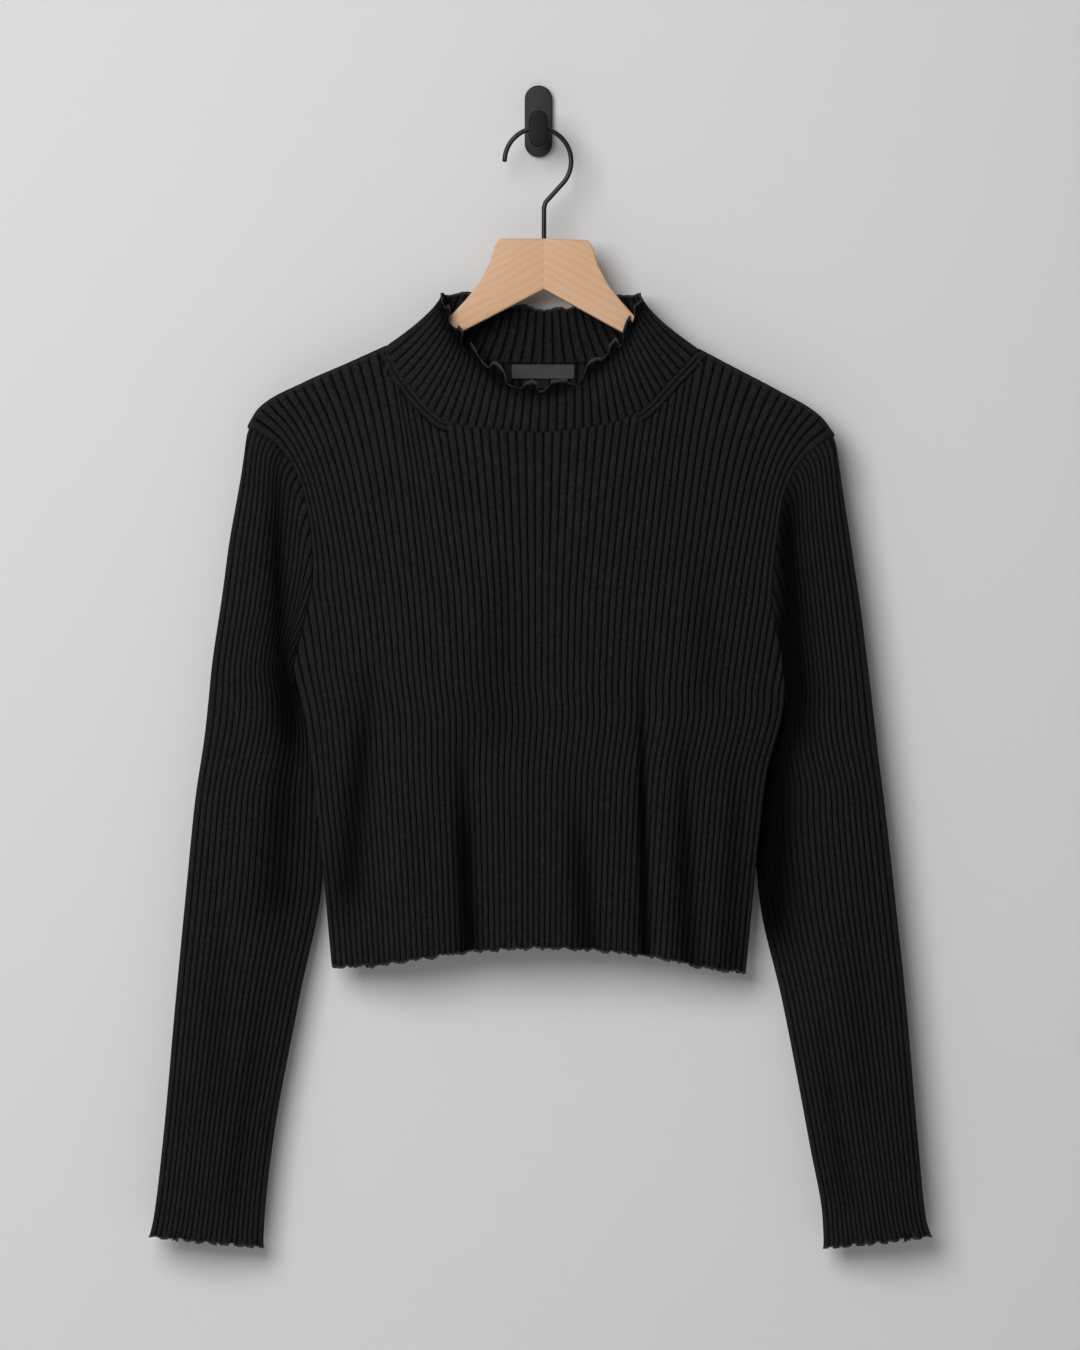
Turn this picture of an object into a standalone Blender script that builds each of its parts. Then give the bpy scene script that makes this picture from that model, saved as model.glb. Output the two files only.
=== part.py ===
"""A ribbed, long-sleeved crop top with a mock neck, on a wooden hanger that hangs on a wall hook.

The origin is the centre of the wall plate's back face: the wall is the plane y = 0, the room is
at -Y, and +Z is up. Sizes are in millimetres, and new_mesh turns them into metres. Each piece of
cloth is a closed wall: a plain inner face, and an outer face that its knitted ribs are raised on.
Places across a panel are counted in ribs, from its left side seam, so that a rib is one line of
points from the hem to where it ends.
"""

import math

import bmesh
import bpy
import numpy as np

METRES = 0.001
GAP = 0.3               # between neighbouring pieces, where a seam or a face meets another

# Cloth
WALL = 1.4              # thickness in the grooves between two ribs
RIB = 1.2               # how far a rib stands above its grooves
FRILL_DEEP = 2.4        # how far the stretched edge waves to and fro
FRILL_HIGH = 1.2        # and up and down
FRILL_BAND = 6.5        # height of the waving edge

# Body: ribs on each of the front and the back, and where they end
BODY_RIBS = 76
UNDERARM_RIBS = 4       # at each side, end on the lower armhole
SHOULDER_RIBS = 16      # end on each shoulder seam
NECK_SIDE_RIBS = 7      # end on each sloping side of the neck
FIRST = UNDERARM_RIBS                       # rib line that follows the left armhole
LAST = BODY_RIBS - UNDERARM_RIBS            # and the right one
NECK_START = FIRST + SHOULDER_RIBS
NECK_END = LAST - SHOULDER_RIBS
HEM_WAVES = 27
INNER_STEP = 3.2        # ribs for each face of the plain inside, or fewer

INNER_NECK = 0.996      # part of the way up where the body's inside ends at the neck seam
SLOPE_STEP = 0.4        # over which the slope of the body's surface is taken
RIB_STEP = 0.1          # and of a tube's surface, in ribs across
PART_STEP = 0.004       # and as a part of its length

MIDDLE = -27.0          # y of the plane through the hanger, the side seams and the sleeves
CENTRE = 2.0            # x of the body's centre line
SHOULDER_ROUND = 8.0    # radius of the cloth over the hanger's arm
ARM_FROM = -275.0       # height from which the cloth is spread by the hanger's arms
ARM_FADE = 45.0         # and the height in which it takes their width
SHOULDER_FALL = 50.0    # height in which the cloth below that takes the body's full depth
FRONT_DEEP = 22.0       # how far the front stands off the middle plane
BACK_DEEP = 14.0        # and the back
LENS_POWER = 3.0        # how square the body's section is
WEIGHT_OF_ARMHOLE = 8.0  # ribs over which the others bend less and less with the armhole
SIDE_SLOPE = 0.2        # sideways over upwards, of the lines that the side seams run on in
SPREAD_HEIGHT = 140.0   # height below the chest line in which the ribs spread out to it


def table(names, *rows):
    """A table with named columns, each of them an array."""
    return dict(zip(names.split(), np.array(rows, dtype=float).T))


# Outline of the front and the back, seen from the front
LEFT_SIDE = table("z x", (-396.0, -177.1), (-435.0, -167.8), (-514.0, -158.0), (-612.0, -149.0))
RIGHT_SIDE = table("z x", (-412.0, 177.8), (-423.0, 177.0), (-474.0, 164.4), (-517.0, 159.2),
                   (-616.0, 149.5))
HEM = table("part z",
            (0.00, -612.0), (0.10, -611.0), (0.20, -606.5), (0.35, -600.5), (0.50, -598.0),
            (0.65, -600.0), (0.80, -606.0), (0.90, -612.5), (1.00, -616.5))
# Where the body's section would close, above the underarms
LEFT_EDGE = table("z x", (-396.0, -177.1), (-336.0, -190.0), (-270.0, -201.0), (-222.0, -212.0))
RIGHT_EDGE = table("z x", (-412.0, 177.8), (-348.0, 192.0), (-275.0, 205.0), (-229.0, 216.0))
LEFT_ARMHOLE = table("x z", (-162.9, -336.0), (-162.4, -322.0), (-163.8, -299.5), (-168.8, -270.7),
                     (-177.5, -249.8), (-191.2, -233.6), (-209.2, -222.9))
RIGHT_ARMHOLE = table("x z", (168.2, -348.0), (169.6, -325.0), (172.4, -300.2), (176.2, -275.0),
                      (184.0, -255.4), (196.2, -240.8), (213.0, -229.0))
LEFT_UNDERARM = table("x z", (-177.1, -396.0), (-175.3, -386.6), (-168.8, -361.4), (-162.9, -336.0))
RIGHT_UNDERARM = table("x z", (177.8, -411.8), (175.3, -386.6), (171.0, -366.0), (168.2, -348.0))
LEFT_SHOULDER = table("rib x z", (4, -209.2, -222.9), (6, -200.5, -209.2), (11.5, -167.4, -190.5),
                      (15.7, -138.6, -177.9), (20, -109.1, -164.6))
RIGHT_SHOULDER = table("rib x z", (56, 114.8, -166.8), (60.3, 142.2, -181.2), (64.5, 171.0, -196.3),
                       (69.8, 202.0, -215.0), (72, 213.0, -229.0))
FRONT_NECK = table("rib x z", (20, -109.1, -164.6), (22, -99.7, -182.2), (23.8, -88.9, -196.6),
                   (25.4, -78.1, -208.8), (27, -67.3, -217.2), (32.4, -32.8, -224.0),
                   (37.7, 1.8, -226.0), (43.4, 38.5, -222.5), (49, 72.4, -211.0), (50.7, 82.4, -202.3),
                   (52.5, 93.2, -190.1), (54.3, 104.8, -178.0), (56, 114.8, -166.8))
BACK_NECK = table("rib x z", (20, -109.1, -164.6), (26, -67.3, -170.5), (38, 4.0, -175.0),
                  (50, 76.7, -171.0), (56, 114.8, -166.8))
# Top of the cloth over the hanger, and the same lines run on to the centre
RIDGE = table("x z", (-209.2, -222.9), (-200.5, -209.2), (-167.4, -190.5), (-138.6, -177.9),
              (-109.1, -164.6), (0.0, -110.0), (114.8, -166.8), (142.2, -181.2), (171.0, -196.3),
              (202.0, -215.0), (213.0, -229.0))

# Folds that sink into a panel, or stand up from it where sink is negative; at is the fold's x
FRONT_FOLDS = table("at top bottom lean wide sink",
                    (-132.0, -390.0, -545.0, -10.0, 10.0, 2.4),
                    (-97.0, -490.0, -570.0, 0.0, 15.0, -2.4),
                    (-53.0, -445.0, -625.0, 5.0, 10.0, 3.0),
                    (35.0, -505.0, -625.0, 5.0, 10.0, 2.2),
                    (76.5, -385.0, -620.0, 1.5, 9.0, 2.8),
                    (105.0, -450.0, -610.0, 3.0, 11.0, 1.8))
BACK_FOLDS = table("at top bottom lean wide sink",
                   (-118.0, -400.0, -560.0, 4.0, 11.0, 2.2),
                   (-64.0, -480.0, -616.0, -3.0, 10.0, 2.6),
                   (12.0, -500.0, -610.0, 2.0, 12.0, 1.8),
                   (84.0, -440.0, -600.0, -3.0, 10.0, 2.6),
                   (128.0, -410.0, -520.0, -4.0, 10.0, 1.6))
FOLD_END = 24.0         # height in which a fold fades out at each end

# Heights of the rows of points: parts of the way up the ribs
LOWER_HIGH = 270.0      # from the hem to the chest line
LOWER_ROWS = (0.0, FRILL_BAND / LOWER_HIGH, 0.22, 0.50, 0.78, 1.0)
UPPER_ROWS = (0.0, 0.30, 0.58, 0.80, 0.93, 0.98, 1.0)

# Sleeves
SLEEVE_RIBS = 22        # on each face
CUFF_WAVES = 9          # on each face
SLEEVE_INSIDE = np.arange(0, 2 * SLEEVE_RIBS, 2.0)
SLEEVE_LONG = 580.0     # from the shoulder to the cuff
SLEEVE_ROWS = (0.0, 0.06, 0.14, 0.24, 0.36, 0.50, 0.68, 0.86, 1.0 - FRILL_BAND / SLEEVE_LONG, 1.0)
SLEEVE_POWER = 2.4      # how square a sleeve's section is
SEAM_RUN = 40.0         # length in which a sleeve comes away from the armhole's own depth
SLEEVE_SETTLED = -491.0  # height below which the ribs lie evenly across a sleeve
SLEEVE_BEHIND = 12.0    # how far a sleeve's inner edge lies behind the side seam
BEHIND_FROM, BEHIND_TO = 0.50, 0.92     # parts of the way across where a sleeve turns back
UNDERARM_ROOM = 3.4     # keeps the sleeve's wall clear of the side seam's top
TIP_ROOM = 0.9          # and clear of the shoulder seam's end
ROOM_PART = 0.1         # part of the armhole, at each end, in which that room is made
SETTLE_FROM, SETTLE_TO = 0.60, 0.78     # parts across between early and late settling ribs
UNDERARM_ROW = 5        # row of the tables below that is at the underarm
GATHER = 0.8            # how much closer the inner ribs are at the underarm
# Edges of the sleeves' inside, how far behind the body the inner edge is (0 to 1), half depth
LEFT_SLEEVE = table("z outer inner behind deep",
                    (-224.0, -207.6, -168.0, 0.0, 6.0), (-246.0, -211.0, -163.0, 0.0, 7.5),
                    (-275.0, -215.9, -162.0, 0.0, 8.5), (-311.0, -222.4, -163.0, 0.0, 9.0),
                    (-347.0, -227.4, -169.0, 0.0, 9.0), (-396.0, -234.6, -180.6, 0.15, 8.5),
                    (-419.0, -237.0, -176.4, 1.0, 8.0), (-446.0, -239.9, -163.0, 1.0, 8.2),
                    (-491.0, -246.4, -155.5, 1.0, 8.2), (-548.0, -252.2, -157.5, 0.9, 8.0),
                    (-635.0, -260.5, -174.0, 0.6, 7.0), (-743.0, -270.4, -193.5, 0.5, 5.5),
                    (-792.0, -276.4, -198.8, 0.5, 5.5), (-808.0, -279.8, -199.6, 0.5, 5.5))
RIGHT_SLEEVE = table("z outer inner behind deep",
                     (-230.0, 211.5, 172.0, 0.0, 6.0), (-246.0, 214.2, 170.0, 0.0, 7.5),
                     (-275.0, 218.7, 170.0, 0.0, 8.5), (-311.0, 224.4, 171.0, 0.0, 9.0),
                     (-347.0, 230.2, 173.0, 0.0, 9.0), (-412.0, 238.5, 181.3, 0.15, 8.5),
                     (-435.0, 241.3, 178.0, 1.0, 8.0), (-462.0, 244.4, 164.6, 1.0, 7.5),
                     (-505.0, 249.8, 156.5, 1.0, 7.0), (-562.0, 256.2, 160.5, 0.9, 6.5),
                     (-635.0, 263.8, 176.8, 0.7, 6.0), (-743.0, 273.2, 197.5, 0.5, 5.5),
                     (-792.0, 278.2, 206.2, 0.5, 5.5), (-808.0, 282.6, 207.0, 0.5, 5.5))
LEFT_CUFF = (-806.5, -814.5)    # height at the outer and the inner corner
RIGHT_CUFF = (-806.5, -815.0)
# Ribs start at even steps from the outer edge, so they take up the armhole unevenly
ARMHOLE_SHARE = table("across along", (0.0, 0.0), (0.23, 0.11), (0.44, 0.22), (0.58, 0.34),
                      (0.69, 0.49), (0.78, 0.65), (1.0, 1.0))
# Folds of a sleeve; at is the distance from its outer edge
SLEEVE_FOLDS = table("at top bottom lean wide sink",
                     (44.0, -275.0, -420.0, 6.0, 8.0, 3.2),
                     (62.0, -440.0, -560.0, -4.0, 9.0, 1.6),
                     (34.0, -560.0, -700.0, 4.0, 10.0, 1.4))

# Collar: a short tube from the neck seam up to its waving edge
COLLAR_FRONT_RIBS = 42
COLLAR_BACK_RIBS = 28
COLLAR_RIBS = COLLAR_FRONT_RIBS + COLLAR_BACK_RIBS
# Lines of points on its inside: one for two ribs, and closer together at the shoulder seams
COLLAR_INSIDE = np.sort(np.concatenate((
    np.arange(0, COLLAR_RIBS, 2.0),
    [1, COLLAR_FRONT_RIBS - 1, COLLAR_FRONT_RIBS + 1, COLLAR_RIBS - 1])))
COLLAR_WAVES = 18
COLLAR_STEADY = 0.16    # part of the edge, at each shoulder seam, in which the waves fade out
NECK_GAP = 0.45         # at the neck seam, whose two sides have their points at other places
SEAM_POINTS = 721       # on the line that a neck edge's length is measured on
SEAM_STEP = 0.008       # part of the neck seam over which its direction is taken
COLLAR_ROWS = (0.0, 0.42, 0.84, 1.0)
COLLAR_FRILL = 2.8      # how far the waves of its edge stand up and down
COLLAR_LEAN = 2.5       # how far the collar bows out between its edges
COLLAR_FRONT = table("part x z deep",
                     (0.00, -67.6, -126.0, 0.0), (0.04, -66.5, -130.5, 8.5), (0.08, -64.5, -137.0, 11.0),
                     (0.17, -58.0, -152.0, 13.0), (0.27, -47.0, -165.0, 15.0), (0.38, -26.0, -184.0, 17.5),
                     (0.50, 1.8, -193.0, 18.5), (0.62, 32.0, -182.0, 17.5), (0.73, 52.0, -165.0, 15.0),
                     (0.83, 63.5, -150.0, 13.0), (0.92, 69.5, -136.0, 11.0), (0.96, 71.2, -131.0, 8.5),
                     (1.00, 72.0, -127.0, 0.0))
COLLAR_BACK = table("part x z deep",
                    (0.00, -67.6, -126.0, 0.0), (0.04, -66.0, -125.4, 8.5), (0.12, -56.0, -125.0, 10.5),
                    (0.30, -28.0, -133.0, 11.0), (0.50, 4.0, -136.5, 11.0), (0.70, 34.0, -133.5, 11.0),
                    (0.88, 60.0, -126.0, 10.5), (0.96, 70.5, -126.2, 8.5), (1.00, 72.0, -127.0, 0.0))

# Labels on the inside of the back, under the neck seam
LABEL_THICK = 0.6
NECK_LABEL = {"left": -19.4, "right": 26.0, "top": -176.6, "bottom": -187.0}
SIZE_LABEL = {"left": -2.5, "right": 7.6, "top": -187.4, "bottom": -194.0}
LABEL_STEPS = 6

# Hanger
BOARD_THICK = 12.0
BOARD_ROUND = 1.0
HANGER_X = 4.0          # x of the joint between its two arms
JOINT_GAP = 0.3
ARM_DROP = 0.036        # how much lower the right arm is than the left, for its length
ARM_OUTLINE = table("out z",    # from the joint outwards; the same on both sides
                    (0.0, -86.4), (31.6, -86.4), (35.5, -92.0), (38.5, -103.0), (46.0, -117.5),
                    (56.0, -130.0), (65.0, -139.6), (75.0, -147.0), (112.5, -169.8), (142.6, -182.0),
                    (171.4, -195.2), (190.0, -206.5), (198.0, -214.5), (199.0, -221.0), (194.0, -227.0),
                    (187.0, -226.5), (112.5, -188.5), (60.0, -154.0), (0.0, -122.4))

# Wire hook of the hanger, in the hanger's own plane
WIRE = 3.5
HOOK_X = -0.4
HOOK_RADIUS = 24.0
HOOK_TOP = -6.5         # height of the wire's centre at the top of the bend
# The shank rises from the board at HANGER_X, and bends aside at its top
SHANK = table("aside z", (0.0, -74.0), (0.0, -64.0), (1.2, -60.0))
HOOK_STEPS = 22
WIRE_SIDES = 2          # steps in a quarter of the wire's section
HOOK_START, HOOK_END = -38.0, 178.0     # degrees round the bend

# Wall hook
PLATE_WIDE, PLATE_TALL, PLATE_THICK = 20.0, 52.0, 5.0
KNOB_WIDE, KNOB_TALL, KNOB_THICK, KNOB_Z = 14.0, 27.0, 6.0, -7.6
STEM_WIDE, STEM_END = 8.6, -31.5        # the knob's back face is at STEM_END
STEM_SIDES = 24
PILL_ROUND = 1.0
PILL_STEPS = 10         # in each round end
SHARP_ANGLE = 40.0      # degrees between faces that meet in an edge

# Finishes: colour, roughness and how metallic they are
FINISHES = {"rib_knit": ((0.012, 0.012, 0.013), 0.85, 0.0),
            "woven_label": ((0.050, 0.050, 0.050), 0.70, 0.0),
            "maple": ((0.720, 0.450, 0.240), 0.45, 0.0),
            "black_wire": ((0.010, 0.010, 0.010), 0.35, 0.0),
            "matt_black": ((0.020, 0.020, 0.020), 0.50, 0.0)}


# Curves and outlines ---------------------------------------------------------------------------

def through(rows, key, value, at):
    """A smooth line through a table's rows that never overshoots them."""
    order = np.argsort(rows[key])
    x, y = rows[key][order], rows[value][order]
    width = np.diff(x)
    slope = np.diff(y) / width
    bend = np.zeros(len(x))
    bend[0], bend[-1] = slope[0], slope[-1]
    if len(x) > 2:
        same = slope[:-1] * slope[1:] > 0
        mean = 3 * (width[:-1] + width[1:]) / np.where(
            same,
            (2 * width[1:] + width[:-1]) / np.where(same, slope[:-1], 1)
            + (width[1:] + 2 * width[:-1]) / np.where(same, slope[1:], 1),
            1)
        bend[1:-1] = np.where(same, mean, 0)
    at = np.clip(np.asarray(at, dtype=float), x[0], x[-1])
    i = np.clip(np.searchsorted(x, at) - 1, 0, len(x) - 2)
    t = (at - x[i]) / width[i]
    return ((1 + 2 * t) * (1 - t) ** 2 * y[i] + t * (1 - t) ** 2 * width[i] * bend[i]
            + t * t * (3 - 2 * t) * y[i + 1] - t * t * (1 - t) * width[i] * bend[i + 1])


def along(path, part):
    """The x and z at a part of a path's length."""
    steps = np.hypot(np.diff(path["x"]), np.diff(path["z"]))
    length = np.concatenate(([0], np.cumsum(steps)))
    rows = {"part": length / length[-1], "x": path["x"], "z": path["z"]}
    return through(rows, "part", "x", part), through(rows, "part", "z", part)


def ease(value):
    """0 below 0, 1 above 1, and smooth between them."""
    t = np.clip(value, 0, 1)
    return t * t * (3 - 2 * t)


def fold_sink(folds, x, z):
    """How far the folds of a panel or a sleeve sink into it; x counts from where their at does."""
    total = np.zeros(np.broadcast(x, z).shape)
    for at, top, bottom, lean, wide, sink in zip(*folds.values()):
        down = np.clip((top - z) / (top - bottom), 0, 1)
        fade = ease((top - z) / FOLD_END) * ease((z - bottom) / FOLD_END)
        total = total + sink * fade * np.exp(-((x - at - lean * (2 * down - 1)) / wide) ** 2)
    return total


# Body --------------------------------------------------------------------------------------------

def half_depth(x, z, deep):
    """How far a panel's inside is from the middle plane, without its folds."""
    left, right = [np.where(z > side["z"][0], through(edge, "z", "x", z), through(side, "z", "x", z))
                   for side, edge in ((LEFT_SIDE, LEFT_EDGE), (RIGHT_SIDE, RIGHT_EDGE))]
    across = np.where(x < CENTRE, (CENTRE - x) / (CENTRE - left), (x - CENTRE) / (right - CENTRE))
    lens = deep * (1 - np.clip(across, 0, 1) ** LENS_POWER)
    to_tip = np.where(x < CENTRE, x - RIDGE["x"][0], RIDGE["x"][-1] - x) / SHOULDER_ROUND
    round_tip = np.sqrt(1 - (1 - np.clip(to_tip, 0, 1)) ** 2)
    arm = SHOULDER_ROUND * round_tip * ease((z - ARM_FROM) / ARM_FADE)
    full = np.maximum(lens, arm)
    below = np.clip(through(RIDGE, "x", "z", x) - z, 0, None)
    over = np.minimum(SHOULDER_ROUND, full)
    turn = np.sqrt(1 - (1 - np.clip(below / SHOULDER_ROUND, 0, 1)) ** 2)
    return over * turn + (full - over) * (1 - np.exp(-below / SHOULDER_FALL))


def even_across(rib, z):
    """x of a rib that lies evenly between the side seams, which run on above the underarms."""
    left, right = [through(side, "z", "x", z) + sign * SIDE_SLOPE * np.clip(z - side["z"][0], 0, None)
                   for side, sign in ((LEFT_SIDE, -1), (RIGHT_SIDE, 1))]
    return left + (right - left) * rib / BODY_RIBS


def chest_line(rib):
    """x and z of the row where the outer ribs end on the lower armholes."""
    left = along(LEFT_UNDERARM, rib / UNDERARM_RIBS)
    right = along(RIGHT_UNDERARM, (BODY_RIBS - rib) / UNDERARM_RIBS)
    part = (rib - FIRST) / (LAST - FIRST)
    start = (LEFT_ARMHOLE["x"][0], LEFT_ARMHOLE["z"][0])
    end = (RIGHT_ARMHOLE["x"][0], RIGHT_ARMHOLE["z"][0])
    lines = [start[i] + (end[i] - start[i]) * part for i in (0, 1)]
    return [np.where(rib < FIRST, left[i], np.where(rib > LAST, right[i], lines[i])) for i in (0, 1)]


def lower_body(rib, part):
    """x and z of a rib between the hem and the chest line."""
    foot = through(HEM, "part", "z", rib / BODY_RIBS)
    top_x, top_z = chest_line(rib)
    z = foot + (top_z - foot) * part
    spread = ease((z - top_z + SPREAD_HEIGHT) / SPREAD_HEIGHT)
    return even_across(rib, z) + (top_x - even_across(rib, top_z)) * spread, z


def upper_body(rib, part, neck):
    """x and z of a rib between the chest line and the shoulder or neck seam."""
    foot = chest_line(rib)
    place = []
    for name, base in zip("xz", foot):
        top = np.where(rib <= NECK_START, through(LEFT_SHOULDER, "rib", name, rib),
                       np.where(rib >= NECK_END, through(RIGHT_SHOULDER, "rib", name, rib),
                                through(neck, "rib", name, rib)))
        value = base + (top - base) * part
        for hole, steps in ((LEFT_ARMHOLE, rib - FIRST), (RIGHT_ARMHOLE, LAST - rib)):
            bow = along(hole, part)["xz".index(name)]
            straight = hole[name][0] + (hole[name][-1] - hole[name][0]) * part
            value = value + np.exp(-steps / WEIGHT_OF_ARMHOLE) * (bow - straight)
        place.append(value)
    return place


def body_out(x, z, face):
    """How far the inside of the front (face -1) or the back (face 1) is from the middle plane."""
    front = half_depth(x, z, FRONT_DEEP) - fold_sink(FRONT_FOLDS, x, z)
    back = half_depth(x, z, BACK_DEEP) - fold_sink(BACK_FOLDS, x, z)
    return np.where(np.asarray(face) < 0, front, back)


def body_normal(x, z, face):
    """The direction in which the cloth of the body is thick."""
    slope_x = (body_out(x + SLOPE_STEP, z, face) - body_out(x - SLOPE_STEP, z, face)) / (2 * SLOPE_STEP)
    slope_z = (body_out(x, z + SLOPE_STEP, face) - body_out(x, z - SLOPE_STEP, face)) / (2 * SLOPE_STEP)
    return unit(np.stack(np.broadcast_arrays(-slope_x, face, -slope_z), axis=-1).astype(float))


def panel_rows(places, parts, upper, face, outer):
    """Rows of points on the inside or the outside of the front or the back."""
    lines = []
    for part in parts:
        if upper:
            neck = (places > NECK_START) & (places < NECK_END)
            up = np.where(neck & (not outer), np.minimum(part, INNER_NECK), part)
            x, z = upper_body(places, up, FRONT_NECK if face < 0 else BACK_NECK)
        else:
            x, z = lower_body(places, part)
        line = np.stack([x, MIDDLE + face * (GAP / 2 + body_out(x, z, face)), z], axis=-1)
        if outer:
            seam = part == 1 and (upper or (places < FIRST) | (places > LAST))
            thick = WALL + np.where(seam, 0, rib_height(places))
            line += body_normal(x, z, face) * thick[:, None]
        if part == 0 and not upper:
            inside = ease(np.minimum(places, BODY_RIBS - places) / UNDERARM_RIBS)
            turn = 2 * math.pi * HEM_WAVES * places / BODY_RIBS + face
            line[:, 1] += inside * FRILL_DEEP * np.sin(turn)
            line[:, 2] += inside * FRILL_HIGH * np.cos(turn)
        lines.append(line)
    return np.array(lines)


def rib_height(place):
    """Height of the ribs: none in the grooves, which lie at whole numbers."""
    return RIB * np.abs(np.round(place * 2) % 2)


def unit(vector):
    """The same directions with length 1."""
    return vector / np.linalg.norm(vector, axis=-1, keepdims=True)


def off_surface(surface, across, up, thick, outward):
    """Points at a height above a surface, which is a function of two places on it."""
    span = surface(across + RIB_STEP, up) - surface(across - RIB_STEP, up)
    above, below = np.minimum(up + PART_STEP, 1), np.maximum(up - PART_STEP, 0)
    rise = surface(across, above) - surface(across, below)
    normal = unit(np.cross(span, rise)) * outward
    return surface(across, up) + normal * thick[..., None]


# Walls -------------------------------------------------------------------------------------------

class Wall:
    """Collects the points and faces of one closed piece."""

    def __init__(self):
        self.points = []
        self.faces = []

    def add(self, rows):
        """Adds rows of points and returns their numbers in the same layout."""
        flat = np.asarray(rows).reshape(-1, 3)
        start = len(self.points)
        self.points.extend(flat.tolist())
        return np.arange(start, start + len(flat)).reshape(np.asarray(rows).shape[:-1])

    def grid(self, ids):
        """Four-sided faces between the rows."""
        for low, high in zip(ids[:-1], ids[1:]):
            self.stitch(low, high, np.arange(len(low)), np.arange(len(low)))

    def stitch(self, low, high, low_at, high_at):
        """Faces between two lines of points, each with the places of its points along the line."""
        i = j = 0
        while i < len(low) - 1 or j < len(high) - 1:
            both = i < len(low) - 1 and j < len(high) - 1
            if both and low_at[i + 1] == high_at[j + 1]:
                self.faces.append((low[i], low[i + 1], high[j + 1], high[j]))
                i, j = i + 1, j + 1
            elif j == len(high) - 1 or (i < len(low) - 1 and low_at[i + 1] < high_at[j + 1]):
                self.faces.append((low[i], low[i + 1], high[j]))
                i += 1
            else:
                self.faces.append((low[i], high[j + 1], high[j]))
                j += 1


def make_panel(name, face, material):
    """The front or the back: two blocks of ribs, the upper one without the underarm ribs."""
    wall = Wall()
    fine = np.arange(0, BODY_RIBS + 0.25, 0.5)
    stops = (FIRST, NECK_START, NECK_START + NECK_SIDE_RIBS, NECK_END - NECK_SIDE_RIBS, NECK_END, LAST)
    between = [np.linspace(low, high, math.ceil((high - low) / INNER_STEP) + 1)
               for low, high in zip(stops, stops[1:])]
    corners = [corner + step for corner, sign in ((NECK_START, 1), (NECK_END, -1), (FIRST, 1), (LAST, -1))
               for step in (sign / 2, sign)]
    ends = [0, FIRST / 2, (LAST + BODY_RIBS) / 2, BODY_RIBS]
    coarse = np.unique(np.concatenate((ends, *between, corners)))
    fine_top = fine[(fine >= FIRST) & (fine <= LAST)]
    coarse_top = coarse[(coarse >= FIRST) & (coarse <= LAST)]

    outer = wall.add(panel_rows(fine, LOWER_ROWS, False, face, True))
    outer_top = wall.add(panel_rows(fine_top, UPPER_ROWS[1:], True, face, True))
    hem = wall.add(panel_rows(fine, LOWER_ROWS[:2], False, face, False))
    inner = wall.add(panel_rows(coarse, LOWER_ROWS[2:], False, face, False))
    inner_top = wall.add(panel_rows(coarse_top, UPPER_ROWS[1:], True, face, False))
    fine_keep = (fine >= FIRST) & (fine <= LAST)
    coarse_keep = (coarse >= FIRST) & (coarse <= LAST)
    outer_top = np.vstack([outer[-1][fine_keep], outer_top])
    inner_top = np.vstack([inner[-1][coarse_keep], inner_top])

    for ids in (outer, outer_top, hem, inner, inner_top):
        wall.grid(ids)
    wall.stitch(hem[1], inner[0], fine, coarse)
    wall.stitch(outer[0], hem[0], fine, fine)
    for side in (0, -1):
        lower_inner = np.concatenate((hem[:, side], inner[:, side]))
        low, high = np.arange(len(LOWER_ROWS)), np.arange(len(UPPER_ROWS))
        wall.stitch(outer[:, side], lower_inner, low, low)
        wall.stitch(outer_top[:, side], inner_top[:, side], high, high)
    for low, high in ((0, FIRST), (LAST, BODY_RIBS)):
        fine_end = (fine >= low) & (fine <= high)
        coarse_end = (coarse >= low) & (coarse <= high)
        wall.stitch(outer[-1][fine_end], inner[-1][coarse_end], fine[fine_end], coarse[coarse_end])
    wall.stitch(outer_top[-1], inner_top[-1], fine_top, coarse_top)
    return new_mesh(name, wall, material)


def make_tube(name, surface, seam_normal, rib_count, coarse, parts, outward, material):
    """A ribbed tube with both ends open; surface(place, part) takes the place around in ribs.

    Its inside has a line of points at each of the places in coarse. Its first row is a seam with
    the body, where its wall stands as the body's does.
    """
    wall = Wall()
    fine = np.arange(0, rib_count, 0.5)

    def rows(places, at_rows, outer):
        lines = []
        for part in at_rows:
            up = np.full(len(places), part)
            thick = WALL + rib_height(places)
            if not outer:
                lines.append(surface(places, up))
            elif part == 0:
                lines.append(surface(places, up) + seam_normal(places) * WALL)
            else:
                lines.append(off_surface(surface, places, up, thick, outward))
        return np.array(lines)

    def closed(ids):
        return np.hstack([ids, ids[:, :1]])

    outer = closed(wall.add(rows(fine, parts, True)))
    inner = closed(wall.add(rows(coarse, parts[:-2], False)))
    edge = closed(wall.add(rows(fine, parts[-2:], False)))
    fine_at = np.append(fine, rib_count)
    coarse_at = np.append(coarse, rib_count)
    for ids in (outer, inner, edge):
        wall.grid(ids)
    wall.stitch(inner[-1], edge[0], coarse_at, fine_at)
    wall.stitch(outer[0], inner[0], fine_at, coarse_at)
    wall.stitch(outer[-1], edge[-1], fine_at, fine_at)
    return new_mesh(name, wall, material)


# Sleeves -----------------------------------------------------------------------------------------

def armhole_line(left):
    """The body's edge at the armhole, from the shoulder tip to the underarm, at its own rows."""
    upper, lower = (LEFT_ARMHOLE, LEFT_UNDERARM) if left else (RIGHT_ARMHOLE, RIGHT_UNDERARM)
    parts = np.array(UPPER_ROWS)[::-1]
    ribs = np.arange(FIRST - 0.5, -0.25, -0.5)
    x, z = [np.concatenate(both) for both in zip(along(upper, parts), along(lower, ribs / FIRST))]
    return x, z, np.concatenate(([0], np.cumsum(np.hypot(np.diff(x), np.diff(z)))))


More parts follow.
